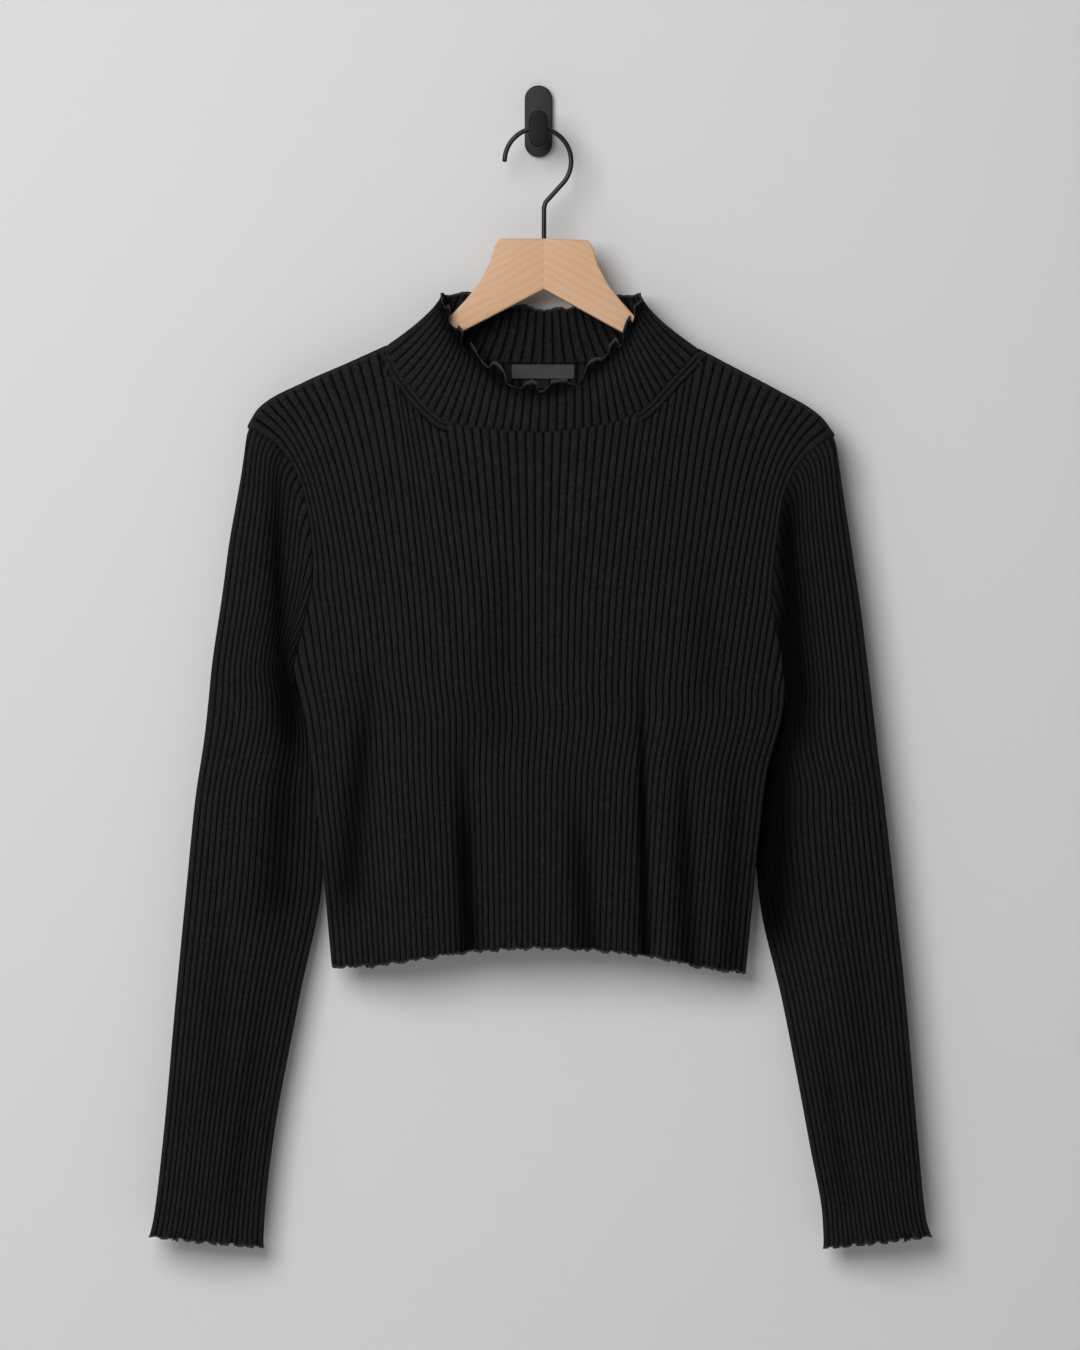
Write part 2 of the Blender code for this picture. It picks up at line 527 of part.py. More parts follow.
def on_armhole(left, across, face, values):
    """Values given for the points of the armhole's line, between them; values is a function."""
    x, z, length = armhole_line(left)
    at = through(ARMHOLE_SHARE, "across", "along", across) * length[-1]
    front, back = values(x, z, -1.0), values(x, z, 1.0)
    return np.where(face < 0, np.interp(at, length, front), np.interp(at, length, back))


def armhole_point(left, across, face):
    """A place on the sleeve's side of the armhole seam, from the shoulder tip (0) to the underarm (1)."""
    side = -1 if left else 1
    x, z, length = armhole_line(left)
    at = through(ARMHOLE_SHARE, "across", "along", across) * length[-1]
    ends = [np.clip(at + step, 0, length[-1]) for step in (SLOPE_STEP, -SLOPE_STEP)]
    dx, dz = [np.interp(ends[0], length, line) - np.interp(ends[1], length, line) for line in (x, z)]
    turn = side * (GAP + TIP_ROOM * ease(1 - across / ROOM_PART)) / np.hypot(dx, dz)
    room = side * UNDERARM_ROOM * ease(1 - (1 - across) / ROOM_PART)
    seam_x = np.interp(at, length, x) - turn * dz + room
    seam_z = np.interp(at, length, z) + turn * dx
    return seam_x, face * (GAP / 2 + on_armhole(left, across, face, body_out)), seam_z


def around_sleeve(place):
    """The face, and the part of the way across it from the outer edge."""
    around = np.mod(place, 2 * SLEEVE_RIBS)
    face = np.where(around <= SLEEVE_RIBS, -1.0, 1.0)
    return face, np.where(around <= SLEEVE_RIBS, around, 2 * SLEEVE_RIBS - around) / SLEEVE_RIBS


def armhole_normal(left):
    """Where the sleeve's wall stands at the armhole: as the body's wall does."""
    def normal(place):
        face, across = around_sleeve(place)
        parts = []
        for axis in range(3):
            parts.append(on_armhole(left, across, face,
                                    lambda x, z, side, axis=axis: body_normal(x, z, side)[:, axis]))
        return unit(np.stack(parts, axis=-1))
    return normal


def sleeve_surface(left):
    """The inside of a sleeve: place in ribs around, part of the way from armhole to cuff."""
    shape = LEFT_SLEEVE if left else RIGHT_SLEEVE
    cuff = LEFT_CUFF if left else RIGHT_CUFF
    side = -1 if left else 1
    underarm_z = shape["z"][UNDERARM_ROW]

    def surface(place, part):
        face, across = around_sleeve(place)
        seam_x, seam_out, seam_z = armhole_point(left, across, face)
        z = seam_z + (cuff[0] + (cuff[1] - cuff[0]) * across - seam_z) * part
        outer = through(shape, "z", "outer", z)
        wide = np.abs(through(shape, "z", "inner", z) - outer)
        seam_from_outer = np.abs(seam_x - through(shape, "z", "outer", seam_z))
        early = ease((across - SETTLE_FROM) / (SETTLE_TO - SETTLE_FROM))
        settled_z = SLEEVE_SETTLED + (underarm_z - SLEEVE_SETTLED) * early
        settle = 1 - (1 - np.clip((seam_z - z) / (seam_z - settled_z + 1), 0, 1)) ** 2
        gathered = ease((z - SLEEVE_SETTLED) / (underarm_z - SLEEVE_SETTLED))
        share = 1 - (1 - across) ** (1 + GATHER * gathered)
        from_outer = seam_from_outer + (share * wide - seam_from_outer) * settle
        away = ease((seam_z - z) / SEAM_RUN)
        bulge = np.sqrt(np.clip(1 - np.abs(2 * across - 1) ** SLEEVE_POWER, 0, 1))
        out = face * through(shape, "z", "deep", z) * bulge
        out = out - face * bulge * fold_sink(SLEEVE_FOLDS, from_outer, z)
        turned = ease((across - BEHIND_FROM) / (BEHIND_TO - BEHIND_FROM))
        behind = SLEEVE_BEHIND * through(shape, "z", "behind", z) * turned
        y = MIDDLE + seam_out + (behind + out - seam_out) * away
        turn = 2 * math.pi * CUFF_WAVES * place / SLEEVE_RIBS
        frill = ease((part - SLEEVE_ROWS[-2]) / (1 - SLEEVE_ROWS[-2]))
        y = y + frill * face * FRILL_DEEP * bulge * np.sin(turn)
        z = z + frill * FRILL_HIGH * np.cos(turn)
        return np.stack(np.broadcast_arrays(outer - side * from_outer, y, z), axis=-1)

    return surface


# Collar ------------------------------------------------------------------------------------------

def around_collar(place):
    """Whether a place is at the front, and the part of the way across from the left shoulder."""
    around = np.mod(place, COLLAR_RIBS)
    front = around <= COLLAR_FRONT_RIBS
    return front, np.where(front, around / COLLAR_FRONT_RIBS, (COLLAR_RIBS - around) / COLLAR_BACK_RIBS)


def neck_line(seam, across):
    """The x and z at a part of the length of a panel's neck edge."""
    rib = np.linspace(NECK_START, NECK_END, SEAM_POINTS)
    x, z = through(seam, "rib", "x", rib), through(seam, "rib", "z", rib)
    length = np.concatenate(([0], np.cumsum(np.hypot(np.diff(x), np.diff(z)))))
    rib = np.interp(across, length / length[-1], rib)
    return through(seam, "rib", "x", rib), through(seam, "rib", "z", rib)


def neck_seam(across, front):
    """The x and z of the collar's side of the neck seam."""
    sides = []
    for seam in (FRONT_NECK, BACK_NECK):
        x, z = neck_line(seam, across)
        dx, dz = np.subtract(neck_line(seam, across + SEAM_STEP), neck_line(seam, across - SEAM_STEP))
        length = np.hypot(dx, dz)
        sides.append((x - NECK_GAP * dz / length, z + NECK_GAP * dx / length))
    return [np.where(front, a, b) for a, b in zip(*sides)]


def neck_normal(place):
    """Where the collar's wall stands at the neck seam: as the body's wall does."""
    front, across = around_collar(place)
    x, z = neck_seam(across, front)
    return body_normal(x, z, np.where(front, -1.0, 1.0))


def collar_surface(place, part):
    """The inside of the collar: place in ribs around, part of the way up from the neck seam."""
    front, across = around_collar(place)
    face = np.where(front, -1.0, 1.0)
    high = {}
    low_x, low_z = neck_seam(across, front)
    for name in ("x", "z", "deep"):
        high[name] = np.where(front, through(COLLAR_FRONT, "part", name, across),
                              through(COLLAR_BACK, "part", name, across))
    low_out = GAP / 2 + body_out(low_x, low_z, face)
    bow = COLLAR_LEAN * np.sin(math.pi * part) * np.sqrt(np.sin(math.pi * across))
    turn = 2 * math.pi * COLLAR_WAVES * place / COLLAR_RIBS
    frill = ease((part - COLLAR_ROWS[-2]) / (1 - COLLAR_ROWS[-2]))
    steady = ease(np.minimum(across, 1 - across) / COLLAR_STEADY)
    out = low_out + (high["deep"] - low_out) * part + bow + frill * steady * FRILL_DEEP * np.sin(turn)
    rise = np.hypot(high["x"] - low_x, high["z"] - low_z)
    up = part + frill * steady * COLLAR_FRILL * np.cos(turn) / rise
    x = low_x + (high["x"] - low_x) * up
    z = low_z + (high["z"] - low_z) * up
    return np.stack(np.broadcast_arrays(x, MIDDLE + face * out, z), axis=-1)


# Objects -----------------------------------------------------------------------------------------

def clear_scene():
    """An empty scene with one collection for the object."""
    for thing in list(bpy.data.objects):
        bpy.data.objects.remove(thing, do_unlink=True)
    group = bpy.data.collections.new("ribbed_crop_top")
    bpy.context.scene.collection.children.link(group)
    return group


def new_material(name):
    """A plain finish."""
    colour, roughness, metallic = FINISHES[name]
    material = bpy.data.materials.new(name)
    material.use_nodes = True
    shader = material.node_tree.nodes["Principled BSDF"]
    shader.inputs["Base Color"].default_value = (*colour, 1.0)
    shader.inputs["Roughness"].default_value = roughness
    shader.inputs["Metallic"].default_value = metallic
    return material


def new_mesh(name, wall, material):
    """An object from a wall's points and faces, in metres and with its faces pointing out."""
    mesh = bpy.data.meshes.new(name)
    points = np.array(wall.points) * METRES
    mesh.from_pydata([tuple(p) for p in points], [], [tuple(int(i) for i in f) for f in wall.faces])
    shape = bmesh.new()
    shape.from_mesh(mesh)
    bmesh.ops.recalc_face_normals(shape, faces=shape.faces)
    shape.to_mesh(mesh)
    shape.free()
    mesh.shade_smooth()
    return place(bpy.data.objects.new(name, mesh), material)


def place(thing, material):
    """Puts an object in the object's own collection, with its finish."""
    thing.data.materials.append(material)
    COLLECTION.objects.link(thing)
    return thing


def flat_outline(name, outline, thick, rounding, at, material):
    """A flat piece from its outline in the plane of the wall; at is the y of its middle."""
    curve = bpy.data.curves.new(name, "CURVE")
    curve.dimensions = "2D"
    curve.fill_mode = "BOTH"
    curve.extrude = (thick / 2 - rounding) * METRES
    curve.bevel_depth = rounding * METRES
    curve.bevel_resolution = 1
    curve.offset = -rounding * METRES
    spline = curve.splines.new("POLY")
    spline.points.add(len(outline) - 1)
    for point, (x, z) in zip(spline.points, outline):
        point.co = (x * METRES, z * METRES, 0, 1)
    spline.use_cyclic_u = True
    thing = place(bpy.data.objects.new(name, curve), material)
    thing.rotation_euler = (math.radians(90), 0, 0)
    thing.location = (0, at * METRES, 0)
    return thing


def pill(wide, tall, middle):
    """Outline of a flat bar with round ends."""
    radius = wide / 2
    reach = tall / 2 - radius
    turns = [math.pi * i / PILL_STEPS for i in range(PILL_STEPS + 1)]
    upper = [(radius * math.cos(a), middle + reach + radius * math.sin(a)) for a in turns]
    lower = [(-radius * math.cos(a), middle - reach - radius * math.sin(a)) for a in turns]
    return upper + lower


def make_label(name, edges, material):
    """A woven label, from the inside of the back moved forwards."""
    wall = Wall()
    xs = np.linspace(edges["left"], edges["right"], LABEL_STEPS + 1)
    faces = []
    for away in (GAP, GAP + LABEL_THICK):
        rows = []
        for z in (edges["top"], edges["bottom"]):
            y = MIDDLE + GAP / 2 + half_depth(xs, np.full(len(xs), z), BACK_DEEP) - away
            rows.append(np.stack([xs, y, np.full(len(xs), z)], axis=-1))
        faces.append(wall.add(rows))
    steps = np.arange(LABEL_STEPS + 1)
    for ids in faces:
        wall.grid(ids)
    for row in (0, 1):
        wall.stitch(faces[0][row], faces[1][row], steps, steps)
    for end in (0, -1):
        wall.stitch(faces[0][:, end], faces[1][:, end], np.arange(2), np.arange(2))
    return new_mesh(name, wall, material)


def make_arm(name, side, material):
    """One arm of the hanger, with its half of the middle."""
    out = np.maximum(ARM_OUTLINE["out"], JOINT_GAP / 2)
    drop = ARM_DROP if side > 0 else 0.0
    outline = [(HANGER_X + side * x, z - drop * x) for x, z in zip(out, ARM_OUTLINE["z"])]
    if side < 0:
        outline.reverse()
    return flat_outline(name, outline, BOARD_THICK, BOARD_ROUND, MIDDLE, material)


def make_hook(material):
    """The hanger's wire: up out of the board, aside, and over in a round bend."""
    centre_z = HOOK_TOP - HOOK_RADIUS
    board_top = ARM_OUTLINE["z"][0]
    points = [(HANGER_X, board_top + GAP)]
    points += [(HANGER_X + aside, z) for aside, z in zip(*SHANK.values())]
    for i in range(HOOK_STEPS + 1):
        angle = math.radians(HOOK_START + (HOOK_END - HOOK_START) * i / HOOK_STEPS)
        points.append((HOOK_X + HOOK_RADIUS * math.cos(angle), centre_z + HOOK_RADIUS * math.sin(angle)))
    curve = bpy.data.curves.new("hanger_hook", "CURVE")
    curve.dimensions = "3D"
    curve.bevel_depth = WIRE / 2 * METRES
    curve.bevel_resolution = WIRE_SIDES
    curve.use_fill_caps = True
    spline = curve.splines.new("POLY")
    spline.points.add(len(points) - 1)
    for point, (x, z) in zip(spline.points, points):
        point.co = (x * METRES, MIDDLE * METRES, z * METRES, 1)
    return place(bpy.data.objects.new("hanger_hook", curve), material)


def make_stem(material):
    """The round stem of the wall hook, which the wire lies on."""
    back = -PLATE_THICK - GAP
    front = STEM_END + GAP
    top = HOOK_TOP - WIRE / 2 - GAP
    bpy.ops.mesh.primitive_cylinder_add(
        vertices=STEM_SIDES, radius=STEM_WIDE / 2 * METRES, depth=(back - front) * METRES,
        location=(HOOK_X * METRES, (back + front) / 2 * METRES, (top - STEM_WIDE / 2) * METRES),
        rotation=(math.radians(90), 0, 0))
    thing = bpy.context.object
    thing.name = "wall_stem"
    for group in list(thing.users_collection):
        group.objects.unlink(thing)
    thing.data.shade_smooth()
    thing.data.set_sharp_from_angle(angle=math.radians(SHARP_ANGLE))
    return place(thing, material)


COLLECTION = clear_scene()
knit, woven, maple, wire, black = [new_material(name) for name in FINISHES]

make_panel("front", -1, knit)
make_panel("back", 1, knit)
for name, left in (("sleeve_left", True), ("sleeve_right", False)):
    make_tube(name, sleeve_surface(left), armhole_normal(left), 2 * SLEEVE_RIBS, SLEEVE_INSIDE,
              SLEEVE_ROWS, -1 if left else 1, knit)
make_tube("collar", collar_surface, neck_normal, COLLAR_RIBS, COLLAR_INSIDE, COLLAR_ROWS, 1, knit)
make_label("neck_label", NECK_LABEL, woven)
make_label("size_label", SIZE_LABEL, woven)
make_arm("hanger_left", -1, maple)
make_arm("hanger_right", 1, maple)
make_hook(wire)
plate = pill(PLATE_WIDE, PLATE_TALL, 0.0)
knob = pill(KNOB_WIDE, KNOB_TALL, KNOB_Z)
flat_outline("wall_plate", plate, PLATE_THICK, PILL_ROUND, -PLATE_THICK / 2, black)
flat_outline("wall_knob", knob, KNOB_THICK, PILL_ROUND, STEM_END - KNOB_THICK / 2, black)
make_stem(black)
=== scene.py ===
"""Looks of the ribbed crop top on its hanger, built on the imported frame.

The cloth repeats the forms of the solids with fine round ribs, as thin shells. Sizes are in
millimetres; new_mesh turns them into metres. Places across a panel are counted in ribs.
"""

import math

import bmesh
import bpy
import numpy as np
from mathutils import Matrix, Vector


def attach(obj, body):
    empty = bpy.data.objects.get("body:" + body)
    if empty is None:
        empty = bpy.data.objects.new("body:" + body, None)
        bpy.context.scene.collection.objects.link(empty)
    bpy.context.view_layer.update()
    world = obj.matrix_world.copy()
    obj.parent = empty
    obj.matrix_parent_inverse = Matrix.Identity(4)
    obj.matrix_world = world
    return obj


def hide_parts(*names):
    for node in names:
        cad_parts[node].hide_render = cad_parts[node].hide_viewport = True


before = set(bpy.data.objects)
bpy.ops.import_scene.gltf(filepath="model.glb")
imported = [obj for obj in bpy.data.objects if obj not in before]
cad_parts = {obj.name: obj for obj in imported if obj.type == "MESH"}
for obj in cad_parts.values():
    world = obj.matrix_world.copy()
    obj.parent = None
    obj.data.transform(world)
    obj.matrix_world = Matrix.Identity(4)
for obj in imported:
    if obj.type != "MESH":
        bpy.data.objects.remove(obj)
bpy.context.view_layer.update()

METRES = 0.001  # in a millimetre
GAP = 0.3  # between neighbouring pieces, where a seam or a face meets another

# Cloth
WALL = 1.4  # thickness in the grooves between two ribs
RIB = 1.2  # how far a rib stands above its grooves
FRILL_BAND = 6.5  # height of the waving edge

# Body: ribs on each of the front and the back, and where they end
BODY_RIBS = 76
UNDERARM_RIBS = 4  # at each side, end on the lower armhole
SHOULDER_RIBS = 16  # end on each shoulder seam
FIRST = UNDERARM_RIBS  # rib line that follows the left armhole
LAST = BODY_RIBS - UNDERARM_RIBS  # and the right one
NECK_START = FIRST + SHOULDER_RIBS
NECK_END = LAST - SHOULDER_RIBS
HEM_WAVES = 27

SLOPE_STEP = 0.4  # over which the slope of the body's surface is taken
RIB_STEP = 0.1  # and of a tube's surface, in ribs across
PART_STEP = 0.004  # and as a part of its length

MIDDLE = -27.0  # y of the plane through the hanger, the side seams and the sleeves
CENTRE = 2.0  # x of the body's centre line
SHOULDER_ROUND = 8.0  # radius of the cloth over the hanger's arm
ARM_FROM = -275.0  # height from which the cloth is spread by the hanger's arms
ARM_FADE = 45.0  # and the height in which it takes their width
SHOULDER_FALL = 50.0  # height in which the cloth below that takes the body's full depth
FRONT_DEEP = 22.0  # how far the front stands off the middle plane
BACK_DEEP = 14.0  # and the back
LENS_POWER = 3.0  # how square the body's section is
WEIGHT_OF_ARMHOLE = 8.0  # ribs over which the others bend less and less with the armhole
SIDE_SLOPE = 0.2  # sideways over upwards, of the lines that the side seams run on in
SPREAD_HEIGHT = 140.0  # height below the chest line in which the ribs spread out to it


def table(names, *rows):
    """A table with named columns, each of them an array."""
    return dict(zip(names.split(), np.array(rows, dtype=float).T))


def folds(*rows):
    """Folds or creases: the x of their middle, their ends, how far they lean, half width, depth."""
    return table("at top bottom lean wide sink", *rows)


# Outline of the front and the back, seen from the front
LEFT_SIDE = table("z x", (-396, -177.1), (-435, -167.8), (-514, -158), (-612, -149))
RIGHT_SIDE = table("z x", (-412, 177.8), (-423, 177), (-474, 164.4), (-517, 159.2), (-616, 149.5))
HEM = table("part z", (0, -612), (0.1, -611), (0.2, -606.5), (0.35, -600.5), (0.5, -598), (0.65, -600),
    (0.8, -606), (0.9, -612.5), (1, -616.5))
# Where the body's section would close, above the underarms
LEFT_EDGE = table("z x", (-396, -177.1), (-336, -190), (-270, -201), (-222, -212))
RIGHT_EDGE = table("z x", (-412, 177.8), (-348, 192), (-275, 205), (-229, 216))
LEFT_ARMHOLE = table("x z", (-162.9, -336), (-162.4, -322), (-163.8, -299.5), (-168.8, -270.7),
    (-177.5, -249.8), (-191.2, -233.6), (-209.2, -222.9))
RIGHT_ARMHOLE = table("x z", (168.2, -348), (169.6, -325), (172.4, -300.2), (176.2, -275), (184, -255.4),
    (196.2, -240.8), (213, -229))
LEFT_UNDERARM = table("x z", (-177.1, -396), (-175.3, -386.6), (-168.8, -361.4), (-162.9, -336))
RIGHT_UNDERARM = table("x z", (177.8, -411.8), (175.3, -386.6), (171, -366), (168.2, -348))
LEFT_SHOULDER = table("rib x z", (4, -209.2, -222.9), (6, -200.5, -209.2), (11.5, -167.4, -190.5),
    (15.7, -138.6, -177.9), (20, -109.1, -164.6))
RIGHT_SHOULDER = table("rib x z", (56, 114.8, -166.8), (60.3, 142.2, -181.2), (64.5, 171, -196.3),
    (69.8, 202, -215), (72, 213, -229))
FRONT_NECK = table("rib x z", (20, -109.1, -164.6), (22, -99.7, -182.2), (23.8, -88.9, -196.6),
    (25.4, -78.1, -208.8), (27, -67.3, -217.2), (32.4, -32.8, -224), (37.7, 1.8, -226),
    (43.4, 38.5, -222.5), (49, 72.4, -211), (50.7, 82.4, -202.3), (52.5, 93.2, -190.1),
    (54.3, 104.8, -178), (56, 114.8, -166.8))
BACK_NECK = table("rib x z", (20, -109.1, -164.6), (26, -67.3, -170.5), (38, 4, -175), (50, 76.7, -171),
    (56, 114.8, -166.8))
# Top of the cloth over the hanger, with the same lines run on to the centre
RIDGE = {name: np.concatenate((LEFT_SHOULDER[name], [top], RIGHT_SHOULDER[name]))
         for name, top in (("x", 0.0), ("z", -110.0))}

# Folds that sink into a panel, or stand up from it where their depth is negative
FRONT_FOLDS = folds((-132, -390, -545, -10, 10, 2.4), (-97, -490, -570, 0, 15, -2.4),
    (-53, -445, -625, 5, 10, 3), (35, -505, -625, 5, 10, 2.2), (76.5, -385, -620, 1.5, 9, 2.8),
    (105, -450, -610, 3, 11, 1.8))
BACK_FOLDS = folds((-118, -400, -560, 4, 11, 2.2), (-64, -480, -616, -3, 10, 2.6),
    (12, -500, -610, 2, 12, 1.8), (84, -440, -600, -3, 10, 2.6), (128, -410, -520, -4, 10, 1.6))
FOLD_END = 24.0  # height in which a fold fades out at each end
# Shallow folds all over, that wander to the side on their way down
SOFT_FOLDS = table("size wide turn aside", (0.55, 9.7, 1.3, 6), (0.35, 15.3, -1, -6))
SOFT_TOP, SOFT_FADE, SOFT_LONG = -260.0, 160.0, 61.0
STEADY_FROM, STEADY_FADE = 8.0, 30.0  # distances below the armholes in which they begin

LOWER_HIGH = 270.0  # from the hem to the chest line

# Rows of points, as distances from an edge
EDGE_ROWS = (0.0, 0.5, 1.0, 1.7, 2.5, 3.4, 4.4, 5.4, 6.6, 8.2, 10.5, 13.5)
ROW_STEP = 4.6  # between rows elsewhere
ROW_REST = 2.0  # the least between the last of these and the next row
SEAM_ROWS = (21.0, 18.0, 15.6, 14.2, 12.9, 11.7, 10.6, 9.6, 8.7, 7.9, 7.2, 6.5, 5.8, 5.1, 4.4, 3.7,
             3.0, 2.3, 1.6, 1.0, 0.4, 0.0)
TOP_HIGH = 165.0  # of the body, from the chest line to the seams
ARMHOLE_POINTS = 41  # of the armhole's line above the chest line

# Ribs of the looks: round, with narrow grooves at the whole numbers
RIB_STEPS = (0.0, 0.13, 0.33, 0.67, 0.87)
RIB_POWER = 2.0
GROOVE_DEEP = 0.45  # how far a groove sinks under the solid's
THIN = 0.9  # thickness of the knit
SEAM_FADE = 1.6  # distance from a seam in which the cloth rises to its full height
SEAM_LOW = 0.45  # part of its height that it has at the seam
BAND_WIDE = 7.6  # of the two small ribs that follow the sloping sides of the neck
BAND_RIBS = 2
BAND_EDGE = 1.5  # distance beside it in which the other ribs rise again
BAND_REACH = 30.4  # and the one up to which it is looked for
BAND_START, BAND_FULL = 0.05, 0.3  # ribs from the shoulder in which it begins
BAND_END = 7.0  # and the one where it starts to fade
BAND_FADE = 1.0
HEM_DEEP, HEM_HIGH = 3.0, 1.2  # how far the hem's waves go to and fro, and up and down
SIDE_WAVES = 0.25  # how large they are at the side seams
RIB_WIDE = 4.6  # of a rib of the body, about
SHOULDER_FLAT = 10.0  # distance below a shoulder seam in which the ribs are stretched flat
FLAT_PART, FLAT_HIGH = 0.9, 0.85  # how flat they are there, and the height that they take
SHOULDER_LOW = 0.7  # part of the cloth's height at the shoulder seam
ARCH_OUT, ARCH_RUN = 3.2, 12.0  # how a sleeve's ribs arch out of the armhole seam
NECK_SEAM_LOW = 0.80  # part of its height that the cloth has at the neck seam

# Sharper creases than the solids' folds; a sleeve's are counted from its outer edge
FRONT_CREASES = folds((-130, -372, -590, -11, 12, 2.6), (-98, -440, -690, 0, 16, -1.4),
    (-52, -415, -690, 6, 11, 3.6), (-20, -500, -690, 4, 14, -1), (33, -450, -690, 11, 13, 2.4),
    (57, -430, -690, 3, 9, -1.4), (75.5, -350, -690, 2.5, 5.2, 3.8), (90, -430, -690, 3, 8, -1),
    (106, -410, -690, 4, 10, 2.6), (140, -420, -690, -3, 12, 1.6), (-30, -300, -470, -8, 22, 0.8),
    (118, -290, -430, 7, 14, 0.8))
BACK_CREASES = folds((-124, -380, -620, 6, 11, 2.8), (-90, -450, -690, 0, 15, -1.4),
    (-60, -400, -690, -6, 10, 3.4), (14, -440, -690, 4, 13, 2.6), (50, -430, -690, 0, 10, -1.2),
    (82, -370, -690, -4, 8, 3.4), (130, -390, -600, -6, 11, 2.4))
LEFT_CREASES = folds((38, -200, -470, 23, 12, 4.3), (61, -360, -600, 3, 16, 2.7),
    (30, -540, -740, 6, 12, 1), (56, -600, -800, -6, 10, 1.4))
RIGHT_CREASES = folds((47, -195, -470, 14, 17, 5.2), (75, -335, -625, 26, 24, 5.6),
    (34, -540, -740, 6, 12, 1), (58, -620, -800, -6, 10, 1.6))
CREASE_IN, CREASE_OUT = 0.45, 0.2  # parts of its length in which a crease sinks in and ends
CREASE_LINE = 0.4  # part of its width that it has at its top
PANEL_CREASE_SHADE, SLEEVE_CREASE_SHADE = 1.8, 1.3  # how much painted shade a crease gets, beyond what its depth alone makes it
DARK_SINK = 6.0  # how deep a crease is when its painted shade is full, as if no light reached into it
DARK_PART = 0.95  # and how much of the knit's colour that painted shade takes away
SCALLOP = 0.9  # how far a free edge is drawn in between two ribs
BEAD_THICK, BEAD_HIGH = 0.6, 1.8  # the thread that thickens a free edge
TURN_RUN = 6.0  # distance in which a tube's wall turns from how the body's wall stands
TURN_LEAST = 0.15  # part of that distance at the shoulder seam's end
SEAM_OVER = 0.3  # how far the front and the back reach into each other at their seams
CLOSE_LONG = 4.0  # distance below the shoulder seam in which they close up
SEAM_TUCK = 1.2  # how far a tube reaches under the edge that it is sewn to
EDGE_CURL = 1.5  # how far the waves of a stretched edge lean to the side
WAVE_POWER = 1.4  # how fast the waves die away from the edge
# Waves of a stretched edge to and fro, and up and down; the main wave has speed 1
DEEP_WAVES = table("size speed start", (0.9, 1, 0), (0.35, 1.63, 1), (0.15, 2.41, 0))
HIGH_WAVES = table("size speed start", (0.8, 1, math.pi / 2), (0.4, 0.53, 2), (-0.25, 1.71, 0))
UNEVEN, UNEVEN_SPEED = 0.5, 0.37  # how far and how slowly they fall behind and catch up
THREAD_HIGH, THREAD_FADE = 0.9, 0.8  # height of the free edge's thread in the knit's colours
OPEN_RUN = 2.0  # distance from a seam in which a shell's two sides part

# Sleeves
SLEEVE_RIBS = 22  # on each face
CUFF_WAVES = 9  # on each face
CORNER_WAVES, CORNER_PART = 0.45, 0.14  # part of the waves left where the faces meet, and where
CUFF_EDGE = (2 * CUFF_WAVES, 2.4, 1.0, FRILL_BAND, 0.7)  # as make_tube takes it
SLEEVE_LONG = 580.0  # from the shoulder to the cuff
SLEEVE_POWER = 2.4  # how square a sleeve's section is
SEAM_RUN = 40.0  # length in which a sleeve comes away from the armhole's own depth
SLEEVE_SETTLED = -491.0  # height below which the ribs lie evenly across a sleeve
SLEEVE_BEHIND = 12.0  # how far a sleeve's inner edge lies behind the side seam
BEHIND_FROM, BEHIND_TO = 0.50, 0.92  # parts of the way across where a sleeve turns back
UNDERARM_ROOM = 1.2  # keeps the sleeve's wall clear of the side seam's top
TIP_ROOM = -0.4  # and no gap at the shoulder seam's end
ROOM_PART = 0.1  # part of the armhole, at each end, in which that room is made
SETTLE_FROM, SETTLE_TO = 0.60, 0.78  # parts across between early and late settling ribs
UNDERARM_ROW = 5  # row of the tables below that is at the underarm
GATHER = 0.8  # how much closer the inner ribs are at the underarm
# Edges of the sleeves' inside, how far behind the body the inner edge is (0 to 1), half depth
LEFT_SLEEVE = table("z outer inner behind deep", (-224, -207.6, -168, 0, 6), (-246, -211, -163, 0, 7.5),
    (-275, -215.9, -162, 0, 8.5), (-311, -222.4, -163, 0, 9), (-347, -227.4, -169, 0, 9),
    (-396, -234.6, -178.6, 0.15, 8.5), (-419, -237, -171, 1, 8), (-446, -239.9, -163, 1, 8.2),
    (-491, -246.4, -155.5, 1, 8.2), (-548, -252.2, -157.5, 0.9, 8), (-635, -260.5, -174, 0.6, 7),
    (-743, -270.4, -193.5, 0.5, 5.5), (-792, -276.4, -198.8, 0.5, 5.5), (-808, -279.8, -199.6, 0.5, 5.5))
RIGHT_SLEEVE = table("z outer inner behind deep", (-230, 211.5, 172, 0, 6), (-246, 214.2, 170, 0, 7.5),
    (-275, 218.7, 170, 0, 8.5), (-311, 224.4, 171, 0, 9), (-347, 230.2, 173, 0, 9),
    (-412, 238.5, 179.3, 0.15, 8.5), (-435, 241.3, 173.6, 1, 8), (-462, 244.4, 164.6, 1, 7.5),
    (-505, 249.8, 156.5, 1, 7), (-562, 256.2, 160.5, 0.9, 6.5), (-635, 263.8, 176.8, 0.7, 6),
    (-743, 273.2, 197.5, 0.5, 5.5), (-792, 278.2, 206.2, 0.5, 5.5), (-808, 282.6, 207, 0.5, 5.5))
LEFT_CUFF = (-806.5, -814.5)  # height at the outer and the inner corner
RIGHT_CUFF = (-806.5, -815.0)
# Ribs start at even steps from the outer edge, so they take up the armhole unevenly
ARMHOLE_SHARE = table("across along", (0, 0), (0.23, 0.11), (0.44, 0.22), (0.58, 0.34), (0.69, 0.49),
    (0.78, 0.65), (1, 1))

